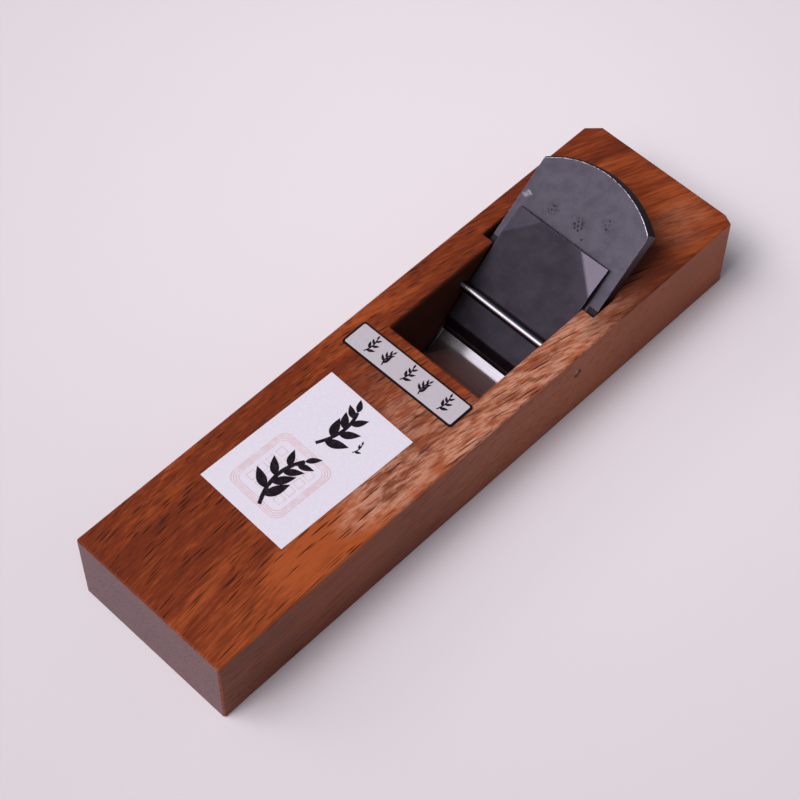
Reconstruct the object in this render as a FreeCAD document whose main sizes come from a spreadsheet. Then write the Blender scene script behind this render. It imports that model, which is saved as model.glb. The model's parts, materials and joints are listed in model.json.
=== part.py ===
import FreeCAD, Part
import math
import os
import Sketcher

# A Japanese pull plane (kanna): an oak block, a laminated wedge-shaped blade, a cap iron and the pin
# that holds the cap iron down. Millimetres and degrees.
# Frame: X across the block towards the pin's open end, Y along the block towards the blade's head,
# Z up from the sole. The origin is the middle of the sole.

doc = FreeCAD.newDocument("kanna_plane")

# Driving dimensions
SIZES = {
    "dai_length": 213.6,
    "dai_width": 57.2,
    "dai_height": 28.5,
    "dai_edge_chamfer": 0.5,
    "head_corner_left": 4,
    "head_corner_right_across": 3.4,
    "head_corner_right_along": 1.6,
    "throat_side_gap": 0.5,
    "throat_angle": 62.7,
    "throat_edge_chamfer": 0.3,
    "mouth_to_head": 86.76,
    "mouth_gap": 1.2,
    "lip_height": 3.2,
    "lip_angle": 73,
    "slot_side_gap": 1.3,
    "slot_top_gap": 4.5,
    "slot_sole_gap": 0.2,
    "bed_gap": 0.05,
    "ura_angle": 40,
    "blade_wedge": 1.34,
    "blade_width": 42,
    "blade_length": 76.8,
    "blade_thickness": 3.6,
    "blade_bevel": 28,
    "blade_side_shift": 0.45,
    "edge_lift": 0.3,
    "head_radius": 33.7,
    "head_side_shift": -0.65,
    "head_edge_chamfer": 0.4,
    "ear_width": 3,
    "ear_length": 5,
    "steel_length": 42,
    "steel_thickness": 1.6,
    "hollow_start": 6.3,
    "hollow_length": 26,
    "hollow_side_land": 4.5,
    "hollow_depth": 0.95,
    "cap_place": 9.5,
    "cap_width": 35,
    "cap_length": 44.5,
    "cap_thickness": 1.6,
    "cap_side_shift": -0.5,
    "cap_gap": 0.08,
    "cap_bevel_length": 4.3,
    "cap_edge_land": 0.25,
    "cap_ear": 9.75,
    "cap_ear_drop": 1.4,
    "cap_steel_length": 14,
    "cap_steel_thickness": 0.7,
    "pin_place": 24.5,
    "pin_radius": 1.5,
    "pin_clearance": 0.4,
    "pin_hole_clearance": 0.02,
    "pin_hole_floor": 5,
    "pin_recess": 0.8,
    "pin_chamfer": 0.25,
    "paper_width": 33.6,
    "paper_length": 50.3,
    "paper_thickness": 0.15,
    "paper_right": -2.26,
    "paper_to_strip": 10.2,
    "paper_turn": -1.5,
    "strip_width": 43.7,
    "strip_length": 9.9,
    "strip_thickness": 0.4,
    "strip_corner": 0.6,
    "strip_right": -2.5,
    "strip_to_throat": 3.45,
    "strip_turn": 0.3,
    "overrun": 2,
}

sizes = doc.addObject("Spreadsheet::Sheet", "Sizes")
for row, (alias, value) in enumerate(SIZES.items(), start=1):
    sizes.set(f"A{row}", alias)
    sizes.set(f"B{row}", str(value))
    sizes.setAlias(f"B{row}", alias)
doc.recompute()

# Places worked out from the driving dimensions
places = doc.addObject("App::VarSet", "Places")


def place(name, formula):
    """A named length or angle that follows the driving dimensions."""
    places.addProperty("App::PropertyFloat", name)
    places.setExpression(name, formula)
    doc.recompute()


def number(formula):
    """The present value of a formula."""
    return float(places.evalExpression(formula))


# The ura is the blade's front face: it rises from the mouth at ura_angle
place("mouth_place", "Sizes.dai_length / 2 - Sizes.mouth_to_head")
place("ura_top", "Places.mouth_place + Sizes.dai_height / tan(Sizes.ura_angle)")
place("bed_angle", "Sizes.ura_angle - Sizes.blade_wedge")
place("edge_forward", "Places.mouth_place + Sizes.edge_lift / tan(Sizes.ura_angle)")
# The bed is the blade's back plane, one gap behind it
place("bed_offset", "Sizes.blade_thickness * cos(Sizes.blade_wedge) + Sizes.bed_gap")
place("bed_sole", "Places.edge_forward - Sizes.edge_lift / tan(Places.bed_angle)"
      " + Places.bed_offset / sin(Places.bed_angle)")
place("bed_top", "Places.bed_sole + Sizes.dai_height / tan(Places.bed_angle)")
# The throat's front wall stands over a steeper lip, and the blade's side grooves open towards the top
place("mouth_front", "Places.mouth_place - Sizes.mouth_gap")
place("lip_top", "Places.mouth_front - Sizes.lip_height / tan(Sizes.lip_angle)")
place("throat_front", "Places.lip_top - (Sizes.dai_height - Sizes.lip_height) / tan(Sizes.throat_angle)")
place("throat_width", "Sizes.cap_width + 2 * Sizes.throat_side_gap")
place("slot_width", "Sizes.blade_width + 2 * Sizes.slot_side_gap")
place("slot_front", "Places.ura_top - Sizes.slot_top_gap")
place("slot_foot", "Places.mouth_place - Sizes.slot_sole_gap")
# The blade's back at its heel and at its head, in the blade's own frame
place("heel_up", "Sizes.blade_thickness / (tan(Sizes.blade_bevel) - tan(Sizes.blade_wedge))")
place("heel_depth", "Places.heel_up * tan(Sizes.blade_bevel)")
place("head_depth", "Sizes.blade_thickness + Sizes.blade_length * tan(Sizes.blade_wedge)")
place("steel_heel_up", "Sizes.steel_thickness / tan(Sizes.blade_bevel)")
place("hollow_radius", "Sizes.hollow_length * Sizes.hollow_length / (8 * Sizes.hollow_depth)"
      " + Sizes.hollow_depth / 2")
# The cap iron lies on the ura at its lower edge and on the tips of its ears
place("cap_tilt", "atan(Sizes.cap_ear_drop / Sizes.cap_length)")
place("cap_forward", "Places.edge_forward + Sizes.cap_place * cos(Sizes.ura_angle)"
      " - Sizes.cap_gap * sin(Sizes.ura_angle)")
place("cap_up", "Sizes.edge_lift + Sizes.cap_place * sin(Sizes.ura_angle)"
      " + Sizes.cap_gap * cos(Sizes.ura_angle)")
place("cap_steel_bevel", "Sizes.cap_bevel_length * (Sizes.cap_steel_thickness - Sizes.cap_edge_land)"
      " / (Sizes.cap_thickness - Sizes.cap_edge_land)")
# The pin stands one clearance off the cap iron's top face
place("pin_height", "Sizes.cap_gap + (Sizes.pin_place - Sizes.cap_place) * tan(Places.cap_tilt)"
      " + Sizes.cap_thickness / cos(Places.cap_tilt) + Sizes.pin_clearance + Sizes.pin_radius")
place("pin_forward", "Places.edge_forward + Sizes.pin_place * cos(Sizes.ura_angle)"
      " - Places.pin_height * sin(Sizes.ura_angle)")
place("pin_up", "Sizes.edge_lift + Sizes.pin_place * sin(Sizes.ura_angle)"
      " + Places.pin_height * cos(Sizes.ura_angle)")
place("pin_start", "Sizes.pin_hole_floor - Sizes.dai_width / 2")
# The labels follow the throat
place("strip_forward", "Places.throat_front - Sizes.strip_to_throat - Sizes.strip_length / 2")
place("paper_forward", "Places.strip_forward - Sizes.strip_length / 2 - Sizes.paper_to_strip"
      " - Sizes.paper_length / 2")


# Sketches and features
def sketch_on(body, role, name):
    """A sketch on one of the body's own origin planes."""
    sketch = body.newObject("Sketcher::SketchObject", name)
    plane = next(feature for feature in body.Origin.OriginFeatures if feature.Role == role)
    sketch.AttachmentSupport = [(plane, "")]
    sketch.MapMode = "FlatFace"
    return sketch


def bind(sketch, kind, elements, formula):
    """A dimension of the sketch that follows a formula."""
    index = sketch.addConstraint(Sketcher.Constraint(kind, *elements, number(formula)))
    sketch.setExpression(f"Constraints[{index}]", formula)


def pin_down(sketch, geometry, vertex, across, along):
    """Dimensions from the sketch's origin to one vertex."""
    bind(sketch, "DistanceX", (-1, 1, geometry, vertex), across)
    bind(sketch, "DistanceY", (-1, 1, geometry, vertex), along)


def draw_outline(sketch, corners):
    """A closed outline of straight lines through the corners, each given by two formulas."""
    points = [FreeCAD.Vector(number(across), number(along), 0) for across, along in corners]
    following = points[1:] + points[:1]
    for start, end in zip(points, following):
        sketch.addGeometry(Part.LineSegment(start, end))
    for index in range(len(points)):
        sketch.addConstraint(Sketcher.Constraint("Coincident", index, 2, (index + 1) % len(points), 1))
    for index, (across, along) in enumerate(corners):
        pin_down(sketch, index, 1, across, along)


def draw_circle(sketch, across, along, radius):
    """A circle whose centre and radius follow formulas."""
    centre = FreeCAD.Vector(number(across), number(along), 0)
    circle = sketch.addGeometry(Part.Circle(centre, FreeCAD.Vector(0, 0, 1), number(radius)))
    pin_down(sketch, circle, 3, across, along)
    bind(sketch, "Radius", (circle,), radius)


def pad_both_ways(body, name, sketch, width):
    """A pad of the given full width, half to each side of the sketch."""
    pad = body.newObject("PartDesign::Pad", name)
    pad.Profile = sketch
    pad.SideType = "Symmetric"
    pad.setExpression("Length", width)
    doc.recompute()
    return pad


def pad_one_way(body, name, sketch, length, reversed_side=False):
    """A pad to one side of the sketch."""
    pad = body.newObject("PartDesign::Pad", name)
    pad.Profile = sketch
    pad.Reversed = reversed_side
    pad.setExpression("Length", length)
    doc.recompute()
    return pad


def pocket_both_ways(body, name, sketch, width):
    """A cut of the given full width, half to each side of the sketch."""
    before = body.Shape.Volume
    pocket = body.newObject("PartDesign::Pocket", name)
    pocket.Profile = sketch
    pocket.SideType = "Symmetric"
    pocket.setExpression("Length", width)
    doc.recompute()
    check_cut(name, before, body.Shape.Volume)
    return pocket


def check_cut(name, before, after):
    """A cut that removed nothing is a mistake."""
    if after >= before:
        raise RuntimeError(f"{name} cut nothing")


def chamfer_edges(body, name, base, size, chosen):
    """A chamfer on the edges of the base feature that the test picks."""
    names = [f"Edge{index}" for index, edge in enumerate(base.Shape.Edges, start=1) if chosen(edge)]
    chamfer = body.newObject("PartDesign::Chamfer", name)
    chamfer.Base = (base, names)
    chamfer.setExpression("Size", size)
    doc.recompute()
    return chamfer


def put(subpart, turn, right="0", forward="0", up="0", axis=FreeCAD.Vector(1, 0, 0)):
    """Give a sub-part its place: three formulas, and a turn about the axis."""
    subpart.Placement = FreeCAD.Placement(FreeCAD.Vector(), FreeCAD.Rotation(axis, number(turn)))
    subpart.setExpression("Placement.Rotation.Angle", turn)
    subpart.setExpression("Placement.Base.x", right)
    subpart.setExpression("Placement.Base.y", forward)
    subpart.setExpression("Placement.Base.z", up)
    doc.recompute()


def new_body(name):
    body = doc.addObject("PartDesign::Body", name)
    body.Label = name
    return body


TOLERANCE = 1e-4


def level(edge, height):
    """True for an edge that lies at one height."""
    box = edge.BoundBox
    return abs(box.ZMin - height) < TOLERANCE and abs(box.ZMax - height) < TOLERANCE


def upright(edge, forward):
    """True for a vertical edge at one place along the block."""
    box = edge.BoundBox
    return box.ZLength > TOLERANCE and abs(box.YMin - forward) < TOLERANCE and box.YLength < TOLERANCE


# The block
def make_dai_block():
    body = new_body("dai_block")
    half_width, half_length = "Sizes.dai_width / 2", "Sizes.dai_length / 2"
    outline = sketch_on(body, "XY_Plane", "dai_outline")
    draw_outline(outline, [
        (f"-{half_width}", f"-{half_length}"),
        (half_width, f"-{half_length}"),
        (half_width, f"{half_length} - Sizes.head_corner_right_along"),
        (f"{half_width} - Sizes.head_corner_right_across", half_length),
        (f"Sizes.head_corner_left - {half_width}", half_length),
        (f"-{half_width}", f"{half_length} - Sizes.head_corner_left"),
    ])
    blank = pad_one_way(body, "dai_blank", outline, "Sizes.dai_height")
    top, tail = number("Sizes.dai_height"), -number(half_length)
    chamfer_edges(body, "dai_eased_edges", blank, "Sizes.dai_edge_chamfer",
                  lambda edge: level(edge, 0) or level(edge, top) or upright(edge, tail))

    over, under = "Sizes.dai_height + Sizes.overrun", "-Sizes.overrun"
    throat = sketch_on(body, "YZ_Plane", "throat_profile")
    draw_outline(throat, [
        ("Places.throat_front", over),
        ("Places.throat_front", "Sizes.dai_height"),
        ("Places.lip_top", "Sizes.lip_height"),
        ("Places.mouth_front", "0"),
        ("Places.mouth_front", under),
        ("Places.bed_sole", under),
        ("Places.bed_sole", "0"),
        ("Places.bed_top", "Sizes.dai_height"),
        ("Places.bed_top", over),
    ])
    pocket_both_ways(body, "throat", throat, "Places.throat_width")

    slot = sketch_on(body, "YZ_Plane", "slot_profile")
    draw_outline(slot, [
        ("Places.slot_front", over),
        ("Places.slot_front", "Sizes.dai_height"),
        ("Places.slot_foot", "0"),
        ("Places.slot_foot", under),
        ("Places.bed_sole", under),
        ("Places.bed_sole", "0"),
        ("Places.bed_top", "Sizes.dai_height"),
        ("Places.bed_top", over),
    ])
    slotted = pocket_both_ways(body, "blade_slot", slot, "Places.slot_width")

    opening_end = number("Places.bed_top") + TOLERANCE
    opening_start = number("Places.throat_front") - TOLERANCE
    half_slot = number("Places.slot_width / 2") + TOLERANCE
    chamfer_edges(body, "throat_eased_edges", slotted, "Sizes.throat_edge_chamfer",
                  lambda edge: level(edge, top) and edge.BoundBox.YMin > opening_start
                  and edge.BoundBox.YMax < opening_end and edge.BoundBox.XMax < half_slot
                  and edge.BoundBox.XMin > -half_slot)

    hole = sketch_on(body, "YZ_Plane", "pin_hole_circle")
    hole.setExpression("AttachmentOffset.Base.z", "Sizes.dai_width / 2 + Sizes.overrun")
    draw_circle(hole, "Places.pin_forward", "Places.pin_up", "Sizes.pin_radius + Sizes.pin_hole_clearance")
    before = body.Shape.Volume
    bore = body.newObject("PartDesign::Pocket", "pin_hole")
    bore.Profile = hole
    bore.setExpression("Length", "Sizes.dai_width + Sizes.overrun - Sizes.pin_hole_floor")
    doc.recompute()
    check_cut("pin_hole", before, body.Shape.Volume)
    return body


# The blade, in its own frame: X across, Y up the blade from the cutting edge, Z out of the ura
def draw_blade_outline(sketch):
    """Clipped lower corners, straight sides and a round head."""
    half_width = number("Sizes.blade_width / 2")
    radius = number("Sizes.head_radius")
    centre = FreeCAD.Vector(number("Sizes.head_side_shift"), number("Sizes.blade_length - Sizes.head_radius"), 0)
    lean_right = math.asin((half_width - centre.x) / radius)
    lean_left = math.asin((half_width + centre.x) / radius)
    right_up = centre.y + radius * math.cos(lean_right)
    left_up = centre.y + radius * math.cos(lean_left)
    ear_up = number("Sizes.ear_length")
    foot = number("Sizes.blade_width / 2 - Sizes.ear_width")
    chain = [(half_width, right_up), (half_width, ear_up), (foot, 0), (-foot, 0), (-half_width, ear_up),
             (-half_width, left_up)]
    points = [FreeCAD.Vector(across, up, 0) for across, up in chain]
    for start, end in zip(points, points[1:]):
        sketch.addGeometry(Part.LineSegment(start, end))
    circle = Part.Circle(centre, FreeCAD.Vector(0, 0, 1), radius)
    arc = sketch.addGeometry(Part.ArcOfCircle(circle, math.pi / 2 - lean_right, math.pi / 2 + lean_left))
    last = arc - 1
    for index in range(last):
        sketch.addConstraint(Sketcher.Constraint("Coincident", index, 2, index + 1, 1))
    sketch.addConstraint(Sketcher.Constraint("Coincident", arc, 1, 0, 1))
    sketch.addConstraint(Sketcher.Constraint("Coincident", arc, 2, last, 2))
    pin_down(sketch, arc, 3, "Sizes.head_side_shift", "Sizes.blade_length - Sizes.head_radius")
    bind(sketch, "Radius", (arc,), "Sizes.head_radius")
    bind(sketch, "DistanceX", (-1, 1, 0, 1), "Sizes.blade_width / 2")
    bind(sketch, "DistanceX", (-1, 1, last, 2), "-Sizes.blade_width / 2")
    pin_down(sketch, 0, 2, "Sizes.blade_width / 2", "Sizes.ear_length")
    pin_down(sketch, 1, 2, "Sizes.blade_width / 2 - Sizes.ear_width", "0")
    pin_down(sketch, 2, 2, "Sizes.ear_width - Sizes.blade_width / 2", "0")
    pin_down(sketch, 3, 2, "-Sizes.blade_width / 2", "Sizes.ear_length")


def put_on_ura(subpart):
    """The blade's pieces share one place, with their origin at the cutting edge."""
    put(subpart, "Sizes.ura_angle", right="Sizes.blade_side_shift", forward="Places.edge_forward",
        up="Sizes.edge_lift")


def make_blade_iron():
    body = new_body("blade_iron")
    outline = sketch_on(body, "XY_Plane", "blade_outline")
    draw_blade_outline(outline)
    plate = pad_one_way(body, "blade_plate", outline, "Places.head_depth", reversed_side=True)
    half_width = number("Sizes.blade_width / 2") - TOLERANCE
    head_start = number("Sizes.blade_length - Sizes.head_radius")
    chamfer_edges(body, "blade_head_edge", plate, "Sizes.head_edge_chamfer",
                  lambda edge: level(edge, 0) and edge.Curve.TypeId == "Part::GeomCircle"
                  and edge.BoundBox.YMin > head_start and edge.BoundBox.XMax > half_width)

    back = sketch_on(body, "YZ_Plane", "blade_back")
    far = "Sizes.blade_length + Sizes.overrun"
    draw_outline(back, [
        ("-Sizes.overrun", "Sizes.overrun * tan(Sizes.blade_bevel)"),
        ("-Sizes.overrun", "-Places.head_depth - Sizes.overrun"),
        (far, "-Places.head_depth - Sizes.overrun"),
        (far, "-Places.head_depth - Sizes.overrun * tan(Sizes.blade_wedge)"),
        ("Places.heel_up", "-Places.heel_depth"),
    ])
    pocket_both_ways(body, "blade_taper_and_bevel", back, "Sizes.blade_width + Sizes.overrun")

    recess = sketch_on(body, "YZ_Plane", "steel_recess")
    draw_outline(recess, [
        ("-Sizes.overrun", "Sizes.overrun"),
        ("-Sizes.overrun", "-Sizes.steel_thickness"),
        ("Sizes.steel_length", "-Sizes.steel_thickness"),
        ("Sizes.steel_length", "Sizes.overrun"),
    ])
    pocket_both_ways(body, "steel_seat", recess, "Sizes.blade_width + Sizes.overrun")
    put_on_ura(body)
    return body


def make_blade_steel():
    body = new_body("blade_steel")
    outline = sketch_on(body, "XY_Plane", "steel_outline")
    half_width, foot = "Sizes.blade_width / 2", "Sizes.blade_width / 2 - Sizes.ear_width"
    draw_outline(outline, [
        (foot, "0"),
        (half_width, "Sizes.ear_length"),
        (half_width, "Sizes.steel_length"),
        (f"-{half_width}", "Sizes.steel_length"),
        (f"-{half_width}", "Sizes.ear_length"),
        (f"Sizes.ear_width - {half_width}", "0"),
    ])
    pad_one_way(body, "steel_plate", outline, "Sizes.steel_thickness", reversed_side=True)

    bevel = sketch_on(body, "YZ_Plane", "steel_bevel")
    draw_outline(bevel, [
        ("-Sizes.overrun", "Sizes.overrun * tan(Sizes.blade_bevel)"),
        ("-Sizes.overrun", "-Sizes.steel_thickness - Sizes.overrun"),
        ("Places.steel_heel_up + Sizes.overrun / tan(Sizes.blade_bevel)", "-Sizes.steel_thickness - Sizes.overrun"),
    ])
    pocket_both_ways(body, "steel_bevel_cut", bevel, "Sizes.blade_width + Sizes.overrun")

    hollow = sketch_on(body, "YZ_Plane", "hollow_circle")
    draw_circle(hollow, "Sizes.hollow_start + Sizes.hollow_length / 2",
                "Places.hollow_radius - Sizes.hollow_depth", "Places.hollow_radius")
    pocket_both_ways(body, "hollow_ground_face", hollow, "Sizes.blade_width - 2 * Sizes.hollow_side_land")
    put_on_ura(body)
    return body


# The cap iron, in its own frame: X across, Y up from its lower edge, Z out of its top face
def put_on_blade(subpart):
    """The cap iron's pieces share one place, with their origin at its lower edge."""
    put(subpart, "Sizes.ura_angle + Places.cap_tilt", right="Sizes.blade_side_shift + Sizes.cap_side_shift",
        forward="Places.cap_forward", up="Places.cap_up")


def make_cap_plate():
    body = doc.addObject("PartDesign::Body", "cap_plate")
    profile = sketch_on(body, "YZ_Plane", "cap_profile")
    draw_outline(profile, [
        ("Places.cap_steel_bevel", "Sizes.cap_steel_thickness"),
        ("Sizes.cap_steel_length", "Sizes.cap_steel_thickness"),
        ("Sizes.cap_steel_length", "0"),
        ("Sizes.cap_length", "0"),
        ("Sizes.cap_length", "Sizes.cap_thickness"),
        ("Sizes.cap_bevel_length", "Sizes.cap_thickness"),
    ])
    pad_both_ways(body, "cap_profile_pad", profile, "Sizes.cap_width")
    half_width, fold_up = "Sizes.cap_width / 2", "Sizes.cap_length - Sizes.cap_ear"
    for side, name in (("", "right"), ("-", "left")):
        corner = sketch_on(body, "XY_Plane", f"{name}_corner")
        draw_outline(corner, [
            (f"{side}({half_width} + Sizes.overrun)", f"{fold_up} - Sizes.overrun"),
            (f"{side}({half_width} + Sizes.overrun)", "Sizes.cap_length + Sizes.overrun"),
            (f"{side}({half_width} - Sizes.cap_ear - Sizes.overrun)", "Sizes.cap_length + Sizes.overrun"),
        ])
        pocket_both_ways(body, f"{name}_corner_cut", corner, "2 * Sizes.cap_thickness + Sizes.overrun")
    return body


def make_cap_ears():
    """The two corners, bent down about a slanting fold so that their tips meet the blade."""
    half_width, length = sizes.cap_width / 2, sizes.cap_length
    rise = FreeCAD.Vector(0, 0, sizes.cap_thickness)
    ears = []
    for side in (1, -1):
        on_top_edge = FreeCAD.Vector(side * (half_width - sizes.cap_ear), length, 0)
        on_side = FreeCAD.Vector(side * half_width, length - sizes.cap_ear, 0)
        tip = FreeCAD.Vector(side * half_width, length, -sizes.cap_ear_drop)
        face = Part.Face(Part.makePolygon([on_top_edge, on_side, tip, on_top_edge]))
        ears.append(face.extrude(rise))
    feature = doc.addObject("Part::Feature", "cap_ears")
    feature.Shape = Part.makeCompound(ears)
    return feature


def make_cap_iron():
    cap = doc.addObject("Part::MultiFuse", "cap_iron")
    cap.Label = "cap_iron"
    cap.Shapes = [make_cap_plate(), make_cap_ears()]
    cap.Refine = True
    doc.recompute()
    put_on_blade(cap)
    return cap


def make_cap_steel():
    body = new_body("cap_steel")
    profile = sketch_on(body, "YZ_Plane", "cap_steel_profile")
    draw_outline(profile, [
        ("0", "0"),
        ("Sizes.cap_steel_length", "0"),
        ("Sizes.cap_steel_length", "Sizes.cap_steel_thickness"),
        ("Places.cap_steel_bevel", "Sizes.cap_steel_thickness"),
        ("0", "Sizes.cap_edge_land"),
    ])
    pad_both_ways(body, "cap_steel_pad", profile, "Sizes.cap_width")
    put_on_blade(body)
    return body


# The pin: driven in from the right side, its left end in the other cheek
def make_pressing_pin():
    body = new_body("pressing_pin")
    section = sketch_on(body, "YZ_Plane", "pin_circle")
    draw_circle(section, "0", "0", "Sizes.pin_radius")
    rod = pad_one_way(body, "pin_rod", section, "Sizes.dai_width - Sizes.pin_hole_floor - Sizes.pin_recess")
    chamfer_edges(body, "pin_ends", rod, "Sizes.pin_chamfer",
                  lambda edge: edge.Curve.TypeId == "Part::GeomCircle")
    put(body, "0", right="Places.pin_start", forward="Places.pin_forward", up="Places.pin_up")
    return body


# The labels, glued to the top face
def make_paper_label():
    body = new_body("paper_label")
    outline = sketch_on(body, "XY_Plane", "paper_outline")
    half_width, half_length = "Sizes.paper_width / 2", "Sizes.paper_length / 2"
    draw_outline(outline, [
        (f"-{half_width}", f"-{half_length}"),
        (half_width, f"-{half_length}"),
        (half_width, half_length),
        (f"-{half_width}", half_length),
    ])
    pad_one_way(body, "paper_sheet", outline, "Sizes.paper_thickness")
    put(body, "Sizes.paper_turn", right="Sizes.paper_right", forward="Places.paper_forward",
        up="Sizes.dai_height", axis=FreeCAD.Vector(0, 0, 1))
    return body


def make_strip_label():
    body = new_body("strip_label")
    outline = sketch_on(body, "XY_Plane", "strip_outline")
    half_width, half_length = "Sizes.strip_width / 2", "Sizes.strip_length / 2"
    draw_outline(outline, [
        (f"-{half_width}", f"-{half_length}"),
        (half_width, f"-{half_length}"),
        (half_width, half_length),
        (f"-{half_width}", half_length),
    ])
    plate = pad_one_way(body, "strip_plate", outline, "Sizes.strip_thickness")
    chamfer_edges(body, "strip_corners", plate, "Sizes.strip_corner",
                  lambda edge: edge.BoundBox.ZLength > TOLERANCE)
    put(body, "Sizes.strip_turn", right="Sizes.strip_right", forward="Places.strip_forward",
        up="Sizes.dai_height", axis=FreeCAD.Vector(0, 0, 1))
    return body


subparts = [
    make_dai_block(),
    make_blade_iron(),
    make_blade_steel(),
    make_cap_iron(),
    make_cap_steel(),
    make_pressing_pin(),
    make_paper_label(),
    make_strip_label(),
]
doc.recompute()

# Nothing is written unless every object and every sub-part is sound
failed = [item.Name for item in doc.Objects if "Invalid" in item.State or "Error" in item.State]
if failed:
    raise RuntimeError(f"failed objects: {failed}")
for subpart in subparts:
    shape = subpart.Shape
    if shape.isNull() or not shape.isValid() or not shape.Solids:
        raise RuntimeError(f"{subpart.Label} has no valid solid")

os.makedirs("parts", exist_ok=True)
for subpart in subparts:
    shape, box = subpart.Shape, subpart.Shape.BoundBox
    shape.exportStep(f"parts/{subpart.Label}.step")
    print(f"{subpart.Label}: {len(shape.Solids)} solid, {shape.Volume:.1f} mm3, "
          f"x {box.XMin:.2f} to {box.XMax:.2f}, y {box.YMin:.2f} to {box.YMax:.2f}, "
          f"z {box.ZMin:.2f} to {box.ZMax:.2f}")
print(f"pin axis at y {places.pin_forward:.2f}, z {places.pin_up:.2f}; bed meets the top at {places.bed_top:.2f}")
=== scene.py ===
# %% [markdown]
# # A Japanese pull plane, dressed for its portrait
# A kanna is a low block of oak with a thick forged blade wedged into it. A second, thinner iron lies on the
# blade, and a steel pin across the throat keeps it down. This file gives the finished solids their surfaces:
# oiled oak, forged iron, blackened iron, polished steel and glued paper.
# Each step has a short note and then a short cell of code, so it can be read and run one cell at a time.

# %% Load the solids
import json
import math
from functools import reduce

import bmesh
import bpy
from mathutils import Matrix, Quaternion, Vector, noise


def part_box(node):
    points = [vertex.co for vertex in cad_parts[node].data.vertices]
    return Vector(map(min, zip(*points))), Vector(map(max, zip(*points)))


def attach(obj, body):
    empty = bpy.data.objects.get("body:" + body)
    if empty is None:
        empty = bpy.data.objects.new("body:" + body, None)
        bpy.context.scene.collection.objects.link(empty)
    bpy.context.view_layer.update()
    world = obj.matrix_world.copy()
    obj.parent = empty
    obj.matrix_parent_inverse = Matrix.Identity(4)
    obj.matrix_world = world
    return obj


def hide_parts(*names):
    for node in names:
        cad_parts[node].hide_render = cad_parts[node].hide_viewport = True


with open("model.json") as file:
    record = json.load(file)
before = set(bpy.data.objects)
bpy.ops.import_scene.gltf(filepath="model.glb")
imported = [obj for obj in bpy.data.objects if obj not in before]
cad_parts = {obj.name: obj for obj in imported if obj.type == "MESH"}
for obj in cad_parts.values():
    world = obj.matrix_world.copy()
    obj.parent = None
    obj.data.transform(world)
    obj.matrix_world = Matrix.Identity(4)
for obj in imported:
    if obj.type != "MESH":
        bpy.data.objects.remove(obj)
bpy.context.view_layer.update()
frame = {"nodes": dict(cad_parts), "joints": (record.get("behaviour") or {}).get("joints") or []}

print("solids:", sorted(frame["nodes"]))

# %% [markdown]
# Everything in the file is in metres, because the solids are. A maker thinks in millimetres, so sizes are
# written as a number of millimetres times MM.

# %% Units
MM = 0.001
X_AXIS = Vector((1, 0, 0))
Z_AXIS = Vector((0, 0, 1))

# %% [markdown]
# ## Camera
# The view looks down on the plane from its near right corner with a long lens, so the long edges hardly
# converge. A long lens from further away flattens a shape, and a short one from close by stretches it, so
# the distance and the lens have to be right together. The camera aims at a point on the block's top, and
# then rolls by half a degree.

# %% Camera
CAMERA_PLACE = Vector((246.34, -264.10, 546.70)) * MM
CAMERA_AIM = Vector((2.41, -11.43, 28.50)) * MM
CAMERA_ROLL = math.radians(0.504)
CAMERA_LENS = 98.454
SENSOR_WIDTH = 36
CLIP_START = 10 * MM

camera_data = bpy.data.cameras.new("camera")
camera_data.lens = CAMERA_LENS
camera_data.sensor_width = SENSOR_WIDTH
camera_data.clip_start = CLIP_START
camera = bpy.data.objects.new("camera", camera_data)
bpy.context.scene.collection.objects.link(camera)
camera.location = CAMERA_PLACE
camera.rotation_mode = "QUATERNION"
level_turn = (CAMERA_AIM - CAMERA_PLACE).to_track_quat("-Z", "Y")
camera.rotation_quaternion = level_turn @ Quaternion(Z_AXIS, CAMERA_ROLL)
bpy.context.scene.camera = camera
bpy.context.scene.view_settings.view_transform = "Standard"
print("camera distance in mm:", round((CAMERA_AIM - CAMERA_PLACE).length / MM))

# %% [markdown]
# ## Nodes as sums
# A node tree is a sum written with boxes and wires. The class below lets the sum be typed as a sum: it wraps
# one socket, and adding or multiplying two wraps adds the Math node and its wires. Numbers that never change
# are worked out in Python instead. Colours can't go through a Math node, which would turn them grey, so they
# have a mix of their own.

# %% A wire that does arithmetic
class Wire:
    """One output socket of a node tree, which takes part in sums."""

    def __init__(self, nodes, socket):
        self.nodes = nodes
        self.socket = socket

    def other(self, output):
        """Another output of the same node."""
        return Wire(self.nodes, self.socket.node.outputs[output])

    def math(self, operation, first, second=0.0):
        return self.nodes.math(operation, first, second)

    def __add__(self, other):
        return self.math("ADD", self, other)

    def __radd__(self, other):
        return self.math("ADD", other, self)

    def __sub__(self, other):
        return self.math("SUBTRACT", self, other)

    def __rsub__(self, other):
        return self.math("SUBTRACT", other, self)

    def __mul__(self, other):
        return self.math("MULTIPLY", self, other)

    def __rmul__(self, other):
        return self.math("MULTIPLY", other, self)

    def __truediv__(self, other):
        return self.math("DIVIDE", self, other)

    def __pow__(self, other):
        return self.math("POWER", self, other)

    def absolute(self):
        return self.math("ABSOLUTE", self)

    def most(self, other):
        return self.math("MAXIMUM", self, other)

    def least(self, other):
        return self.math("MINIMUM", self, other)

    def step(self, start, end):
        """Rises smoothly from 0 at start to 1 at end, and falls where start is the larger."""
        low, high = min(start, end), max(start, end)
        targets = (0.0, 1.0) if end > start else (1.0, 0.0)
        return self.nodes.add("ShaderNodeMapRange", {"interpolation_type": "SMOOTHSTEP"}, {
            "Value": self, "From Min": low, "From Max": high, "To Min": targets[0], "To Max": targets[1],
        })


# %% [markdown]
# A tree needs only one way to get a node: its type, its settings, then its sockets. Settings come first,
# because some of them, such as a Mix node's data type, change which sockets there are.

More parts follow.
